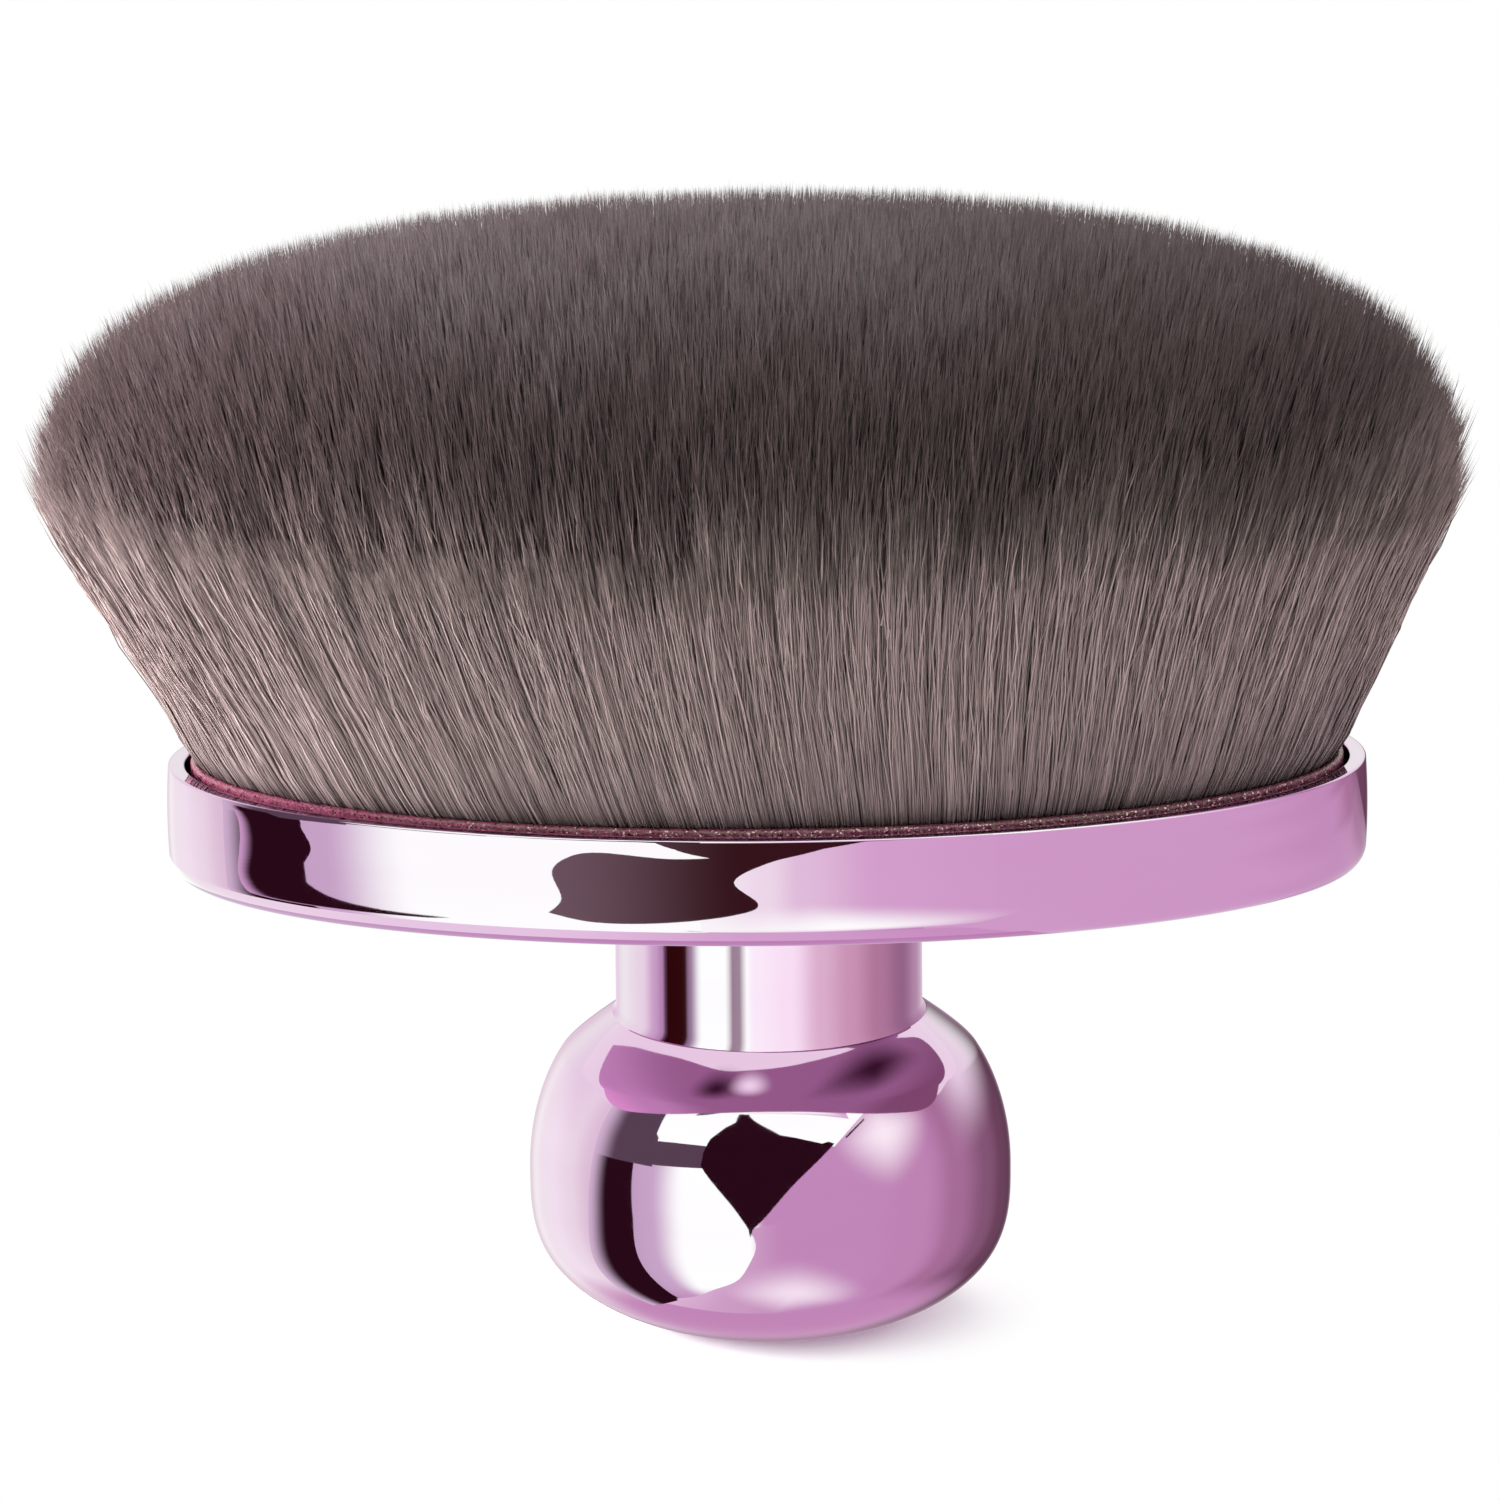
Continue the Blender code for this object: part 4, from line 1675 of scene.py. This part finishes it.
def by_degrees(stops: tuple) -> tuple:
    """Turns stops placed by azimuth in degrees into stops placed by the share of a turn."""
    return tuple((degrees / 360.0 + 0.5, tone) for degrees, tone in stops)


def card_material(name: str) -> tuple[bpy.types.Material, Graph]:
    """Starts the material of a card, which isn't sampled as a lamp.

    Args:
        name: Name of the card.

    Returns:
        The material and its empty graph.
    """
    made, graph = new_material(name)
    made.cycles.emission_sampling = "NONE"
    return made, graph


def one_sided(graph: Graph, light: bpy.types.NodeSocket) -> bpy.types.NodeSocket:
    """Lets a light be seen from the front of its faces only.

    Args:
        graph: Graph to add to.
        light: The light.

    Returns:
        The light, clear from behind.
    """
    clear = graph.add("ShaderNodeBsdfTransparent").outputs[0]
    back = graph.add("ShaderNodeNewGeometry").outputs["Backfacing"]
    return graph.mix_light(back, light, clear)


def hang_card(name: str, shape: bmesh.types.BMesh, light: bpy.types.Material) -> None:
    """Hangs a card, seen by mirror surfaces alone.

    Args:
        name: Its name.
        shape: Its shape, which is used up.
        light: Its material.
    """
    mesh = mesh_of(name, shape)
    mesh.materials.append(light)
    card = stand(name, mesh)
    card.visible_camera = False
    card.visible_diffuse = False
    card.visible_transmission = False
    card.visible_volume_scatter = False
    card.visible_shadow = False


@dataclass(frozen=True)
class Lamp:
    """A soft box that lights the fibres and the floor, and that the plating doesn't mirror.

    Attributes:
        name: Name of the lamp.
        azimuth: Its direction in degrees, 0 straight in front, growing to the right.
        elevation: Its height above the horizon in degrees.
        power: Its power in watts.
        size: Its side in metres.
        distance: Its distance in metres.
        aim_z: Height that it is aimed at.
    """

    name: str
    azimuth: float
    elevation: float
    power: float
    size: float = 0.5
    distance: float = 0.9
    aim_z: float = 35.0 * MM

    def build(self) -> None:
        """Makes the lamp."""
        light = bpy.data.lights.new(self.name, "AREA")
        light.shape = "SQUARE"
        light.size = self.size
        light.energy = self.power
        lamp = stand(self.name, light)
        out = heading(self.azimuth, self.elevation)
        lamp.location = Vector((0.0, 0.0, self.aim_z)) + out * self.distance
        lamp.rotation_euler = out.to_track_quat("Z", "Y").to_euler()
        lamp.visible_glossy = False


WHITE = (1.40, 2.85, 1.58)
PALE = (1.20, 1.95, 1.28)
LILAC = (0.74, 0.70, 0.76)
BLACK = (0.03, 0.008, 0.014)
GREY = (0.13, 0.14, 0.13)

DOME_CARDS = (
    DomeCard("hood", ((0.0, BLACK),), (
        (-16, 42), (-16, 42), (-8, 40), (-8, 40), (15.7, 28), (31.4, 19.5), (31.4, 19.5),
        (11, 2.7), (-3.4, -13.4), (-9.3, -19), (-9.3, -19), (-17.2, -7.6), (-31.7, 8),
        (-32.5, 13), (-28, 27)), bends=True, radius=98 * MM),
    DomeCard("grey_post", ((0.0, (0.85, 1.2, 0.95)), (0.4, GREY)), (
        (-90, 0), (-90, 62)), ((-56, 4), (-57, 62)), radius=99 * MM),
    DomeCard("grey_bar", ((0.0, GREY),), (
        (-62, 15), (-57, 15.5), (-31, 18.7), (-30, 8), (-50, 5.6), (-62, 4)), radius=98.8 * MM),
    DomeCard("dark_strip", ((0.0, (0.85, 1.2, 0.95)), (0.42, BLACK)), (
        (-90, 2), (-91, -12), (-95, -27), (-104, -48), (-112, -62)), (
        (-66, 5), (-65.3, -12), (-65.2, -26), (-64, -46), (-66, -61)), radius=99.4 * MM),
    DomeCard("window_left", ((0.0, WHITE),), (
        (-58, 14.5), (-31, 17.5), (-20, 25), (-12, 62), (-58, 62)), radius=101 * MM),
    DomeCard("window_right", ((0.0, WHITE),), (
        (-12, 30), (31, 18), (62, 36), (68, 62), (-12, 62)), radius=101 * MM),
    DomeCard("wire", ((0.0, BLACK),), ((37.5, 21.6), (38, 20.9), (51.4, 28.2), (51, 28.9)),
             radius=97 * MM),
    DomeCard("low_shade", ((0.0, (0.98, 1.25, 1.03)), (0.3, (0.84, 0.94, 0.87)), (0.6, LILAC)), (
        (-9.5, -18), (-9.5, -18), (-6.8, -20.5), (-9.7, -27), (-17, -40), (-30, -48.5),
        (-53, -58.5), (-95, -61), (-95, -61), (-60, -78), (10, -80), (50, -60), (34, -30),
        (6, -14), (6, -14)), bends=True, radius=99 * MM),
    DomeCard("glow_right", ((0.0, (1.32, 2.3, 1.42)),), ((28, 18), (56, -7), (88, 18), (58, 44)),
             bends=True, fades=True, radius=104 * MM),
    DomeCard("glow_low", ((0.0, (1.25, 2.1, 1.35)),), ((-30, -50), (-6, -82), (64, -63), (12, -24)),
             bends=True, fades=True, radius=78 * MM),
)

# Painted reflections under the tray. Mats seen from below stand between the knob and the tray's real
# underside, so the knob mirrors them instead; the under_shade ones are painted shade and under_light
# a painted highlight. Mats seen from above paint what the tray's lower wall and foot mirror below
# them.
MATS = (
    Mat("tray_band", ((0.0, (0.80, 0.88, 0.85)), (0.22, BLACK)), (
        (-85, -6.5), (-72, -6.5), (-63, -9), (-55, -9.3), (-48, -8.6), (-41, -8), (-35, -10),
        (-29, -15.5), (-22.3, -21.2)), (
        (-85, -24), (-72, -25), (-63.1, -26.8), (-56.4, -25.8), (-48, -23.1), (-40.6, -17.6),
        (-35.1, -16.9), (-29.6, -18.4), (-22.3, -21.3)), side=Side.ABOVE, z=22.0 * MM),
    Mat("tray_right", (
        (0.0, (0.88, 0.94, 0.92)), (0.5, (0.85, 0.89, 0.88)), (0.7, (0.76, 0.74, 0.77)),
        (0.84, (0.54, 0.45, 0.50)), (1.0, (0.38, 0.30, 0.34))), (
        (8, -14), (18, -60), (28, -120)), (
        (29, 4), (66, 22), (120, 50)), side=Side.ABOVE, z=20.3 * MM, rise=0.12),
    Mat("over_outer", (
        (0.0, PALE), (0.3, (1.10, 1.60, 1.20)), (0.5, (0.90, 1.00, 0.95)),
        (0.65, (0.82, 0.80, 0.84)), (1.0, (0.72, 0.66, 0.73))),
        oval(35, 20), side=Side.ABOVE, z=23.1 * MM),
    Mat("over_inner", ((0.0, (0.80, 0.95, 0.88)), (0.45, (0.70, 0.60, 0.72))), oval(31.6, 16.5),
        side=Side.ABOVE, z=23.2 * MM),
    Mat("under_pale", ((0.0, (1.13, 1.68, 1.21)),), oval(32.8, 17.6), side=Side.BELOW,
        z=23.6 * MM),
    Mat("under_dark", (
        (0.0, (0.98, 0.72, 0.92)), (0.2, (0.68, 0.55, 0.68)), (0.36, (0.42, 0.29, 0.40)),
        (0.66, (0.40, 0.28, 0.38)), (0.8, (0.28, 0.17, 0.24)), (1.0, (0.29, 0.175, 0.23))),
        ((-16.3, 6.3), (-16.3, 6.3), (-20.5, 2.7), (-30, -2.4), (-29.4, -9), (-20, -15.7),
         (-10, -18.8), (0, -19.5), (11.5, -18.7), (21.5, -15.7), (32, -9), (33.1, -2.3),
         (23.5, 3), (18.7, 6.4), (15.9, 6.1), (13.2, 1.7), (10.2, -2.7), (6.7, -6.5),
         (2.5, -8.8), (-1.7, -9.3), (-5.5, -8.2), (-10.4, -3.7), (-13.8, 1.5)),
        bends=True, side=Side.BELOW, z=23.3 * MM),
    Mat("under_shade_right", ((0.0, (0.05, 0.015, 0.035)),), (
        (2.8, -13.4), (11.4, -9.6), (16, 2.8), (8.2, -4)), bends=True, fades=True,
        side=Side.BELOW, z=22.9 * MM),
    Mat("under_shade_left", ((0.0, (0.05, 0.015, 0.035)),), oval(3.6, 2.4, (-5.2, -10.4)),
        fades=True, side=Side.BELOW, z=22.8 * MM),
    Mat("under_light", ((0.0, (1.2, 1.8, 1.3)),), oval(2.4, 1.7, (-1.9, -10.7)), fades=True,
        side=Side.BELOW, z=22.7 * MM),
)

# Painted reflections on the tray's front wall: tray_bat is a painted dark shape, the others are
# painted highlights.
BOARDS = (
    Board("tray_white", ((0.0, WHITE),), ((-18, 23.5), (-3.5, 23.5), (-3.5, 31), (-18, 31)),
          y=-20.2 * MM),
    Board("tray_glow", (
        (0.0, (1.33, 2.6, 1.49)), (0.22, (1.19, 2.0, 1.29)), (0.33, (1.05, 1.47, 1.12)),
        (0.6, (0.92, 1.02, 0.96)), (1.0, (0.88, 0.94, 0.92))),
        ((-4, 23.2), (14, 23.2), (14, 34), (-4, 34)), y=-20.1 * MM),
    Board("tray_low", ((0.0, WHITE),), ((-8, 24), (2, 22.6), (17, 23.8), (2, 26)), bends=True,
          fades=True, y=-20.05 * MM),
    Board("tray_bat", ((0.0, (0.20, 0.24, 0.17)), (0.55, (0.05, 0.02, 0.018))), (
        (-13.2, 27.4), (-12, 28.5), (-10, 28.9), (-6, 28.7), (-3.4, 28.8), (-3.4, 28.8),
        (-5.7, 29.4), (-7.8, 31), (-7.8, 31), (9, 31), (9, 31), (3.1, 29.3), (0, 28.5),
        (-2, 27.3), (-0.6, 25.9), (-1.7, 25.2), (-5.8, 24.5), (-10.3, 24.15), (-13.5, 24.5),
        (-13.5, 24.5), (-12.6, 25.6)), bends=True, y=-20.0 * MM),
)

# Surroundings as the plating mirrors them, from behind on the left round the front: azimuth in
# degrees and colour. At a grazing angle the plating has no tint of its own.
SURROUNDINGS = (
    (-180, (0.45, 0.36, 0.41)), (-170, (0.88, 0.84, 0.86)), (-150, (1.15, 1.60, 1.20)),
    (-126, (1.20, 1.90, 1.30)), (-112, (1.14, 1.86, 1.21)), (-96, (1.00, 1.45, 1.05)),
    (-84, (0.62, 0.80, 0.70)), (-60, (0.80, 1.05, 0.90)), (-42, WHITE), (-10, WHITE),
    (-3, LILAC), (42, LILAC), (78, (0.72, 0.65, 0.71)), (100, (0.53, 0.43, 0.49)),
    (127, (0.31, 0.23, 0.27)), (147, (0.19, 0.11, 0.15)), (162, (0.14, 0.08, 0.11)),
    (180, (0.45, 0.36, 0.41)),
)

LAMPS = (
    Lamp("key", -60.0, 25.0, 10.5, size=0.7),
    Lamp("rim_left", -103.0, 9.0, 35.0, size=0.4),
    Lamp("rim_right", 115.0, 15.0, 4.5, size=0.45),
    Lamp("top_back", 170.0, 58.0, 6.0, size=0.5),
)


@dataclass
class Studio:
    """Pale floor, soft lamps, pale surroundings and the cards that the plating mirrors.

    Attributes:
        floor_radius: Radius of the floor.
        floor_tone: Colour of the floor.
        shadow_fades: Distances from the knob's axis between which the floor turns plain white.
        daylight: Strength of the soft light from all around.
        below_front: What mirrors show of the ground in front.
        below_back: What they show of it behind.
        above_back: What they show high up behind.
        dip: How much higher the ground's edge lies straight behind.
        ground: Heights of a direction between which the ground takes over.
        ground_turn: Shares of the way back between which its front turns into its back.
        sky: Heights between which what is high up takes over.
        sky_turn: Shares of the way back between which it does.
    """

    floor_radius: float = 2.5
    floor_tone: tuple = (0.93, 0.93, 0.93, 1.0)
    shadow_fades: tuple = (5.0 * MM, 15.5 * MM)
    daylight: float = 0.62
    below_front: tuple = (*LILAC, 1.0)
    below_back: tuple = (0.74, 0.62, 0.72, 1.0)
    above_back: tuple = (1.08, 1.58, 1.16, 1.0)
    dip: float = 0.3
    ground: tuple = (-0.74, -0.95)
    ground_turn: tuple = (-0.3, 0.6)
    sky: tuple = (-0.1, 0.3)
    sky_turn: tuple = (0.1, 0.6)

    def build(self) -> None:
        """Makes the whole studio."""
        self.build_floor()
        self.build_world()
        cards = (*DOME_CARDS, *MATS, *BOARDS, Sleeve())
        for prop in (*cards, *LAMPS):
            prop.build()
        log.info("studio: %d cards, %d lamps", len(cards), len(LAMPS))

    def build_floor(self) -> None:
        """Makes the floor, which takes the brush's soft shadow."""
        shape = bmesh.new()
        bmesh.ops.create_circle(shape, cap_ends=True, segments=96, radius=self.floor_radius)
        material, graph = new_material("floor")
        place = graph.add("ShaderNodeTexCoord").outputs["Object"]
        out = graph.add("ShaderNodeVectorMath", {0: place}, operation="LENGTH").outputs["Value"]
        paper = graph.add("ShaderNodeBsdfDiffuse", {"Color": self.floor_tone}).outputs[0]
        white = graph.add("ShaderNodeEmission", {"Color": (1.0, 1.0, 1.0, 1.0)}).outputs[0]
        seen = graph.add("ShaderNodeLightPath").outputs["Is Camera Ray"]
        share = graph.math("MULTIPLY", graph.remap(out, *self.shadow_fades), seen)
        graph.add("ShaderNodeOutputMaterial", {"Surface": graph.mix_light(share, paper, white)})
        mesh = mesh_of("floor", shape)
        mesh.materials.append(material)
        floor = stand("floor", mesh)
        floor.visible_glossy = False

    def build_world(self) -> None:
        """Makes the surroundings: white to the camera, pale to mirrors, soft daylight to all else."""
        world = bpy.data.worlds.new("surroundings")
        bpy.context.scene.world = world
        world.use_nodes = True
        graph = Graph(world.node_tree)
        path = graph.add("ShaderNodeLightPath").outputs
        plain = {"Color": (1.0, 1.0, 1.0, 1.0)}
        soft = graph.add("ShaderNodeBackground", {**plain, "Strength": self.daylight}).outputs[0]
        white = graph.add("ShaderNodeBackground", plain).outputs[0]
        mirrored = graph.add("ShaderNodeBackground", {"Color": self.mirrored(graph)}).outputs[0]
        mirrors = graph.math("MAXIMUM", path["Is Glossy Ray"], path["Is Transmission Ray"])
        lit = graph.mix_light(mirrors, soft, mirrored)
        seen = graph.mix_light(path["Is Camera Ray"], lit, white)
        graph.add("ShaderNodeOutputWorld", {"Surface": seen})

    def mirrored(self, graph: Graph) -> bpy.types.NodeSocket:
        """Wires the surroundings that mirrors show.

        Args:
            graph: The world's graph.

        Returns:
            Their colour.
        """
        way = graph.add("ShaderNodeTexCoord").outputs["Generated"]
        parts = graph.add("ShaderNodeSeparateXYZ", {0: way}).outputs
        behind, up = parts[1], parts[2]
        level = tone_ramp(graph, turn_share(graph, way), by_degrees(SURROUNDINGS))
        sunk = graph.math("MULTIPLY_ADD", graph.math("MAXIMUM", behind, 0.0), -self.dip, up)
        low = graph.remap(sunk, *self.ground)
        turned = graph.remap(behind, *self.ground_turn)
        below = graph.mix(turned, self.below_front, self.below_back)
        high = graph.math("MULTIPLY", graph.remap(up, *self.sky),
                          graph.remap(behind, *self.sky_turn))
        return graph.mix(high, graph.mix(low, level, below), self.above_back)


@dataclass
class PhotoCamera:
    """Long lens on the front of the brush, a little above it and very slightly tilted.

    Attributes:
        elevation: Angle above the horizon in degrees.
        roll: Tilt in degrees that lifts the right end of the tray.
        distance: Distance in metres.
        scale: Pixels to the metre at the brush.
        rim_z: Height of the tray's rim, whose middle is placed in the picture.
        rim_at: Where it is placed, in pixels from the top left corner.
        picture: Side of the picture in pixels.
        sensor: Width of the camera's sensor in millimetres.
        clip: Nearest and farthest distance that it sees, in metres.
    """

    elevation: float = 15.2
    roll: float = 0.5
    distance: float = 1.1
    scale: float = 18870.0
    rim_z: float = 30.4 * MM
    rim_at: tuple = (767.0, 757.5)
    picture: float = 1500.0
    sensor: float = 36.0
    clip: tuple = (0.05, 20.0)

    def build(self) -> None:
        """Makes the camera."""
        data = bpy.data.cameras.new("photo")
        data.sensor_width = self.sensor
        data.lens = self.sensor * self.distance * self.scale / self.picture
        data.clip_start, data.clip_end = self.clip
        camera = stand("photo", data)
        e, r = math.radians(self.elevation), math.radians(self.roll)
        level, rise = Vector((1.0, 0.0, 0.0)), Vector((0.0, math.sin(e), math.cos(e)))
        back = Vector((0.0, -math.cos(e), math.sin(e)))
        right = level * math.cos(r) - rise * math.sin(r)
        up = level * math.sin(r) + rise * math.cos(r)
        aside = (self.rim_at[0] - self.picture / 2.0) / self.scale
        below = (self.rim_at[1] - self.picture / 2.0) / self.scale
        aim = Vector((0.0, 0.0, self.rim_z)) - right * aside + up * below
        turn = Matrix((right, up, back)).transposed()
        camera.matrix_world = Matrix.Translation(aim + back * self.distance) @ turn.to_4x4()
        bpy.context.scene.camera = camera


def main() -> None:
    """Builds the studio and the brush, from the base up."""
    logging.basicConfig(level=logging.INFO, format="%(name)s %(message)s")
    bpy.context.scene.view_settings.view_transform = "Standard"
    PhotoCamera().build()
    Studio().build()
    HandleKnob().build()
    head = OvalHead()
    head.build_tray()
    head.build_cup()
    BristleTuft().build()
    InnerPieces().dress()


if __name__ == "__main__":
    main()
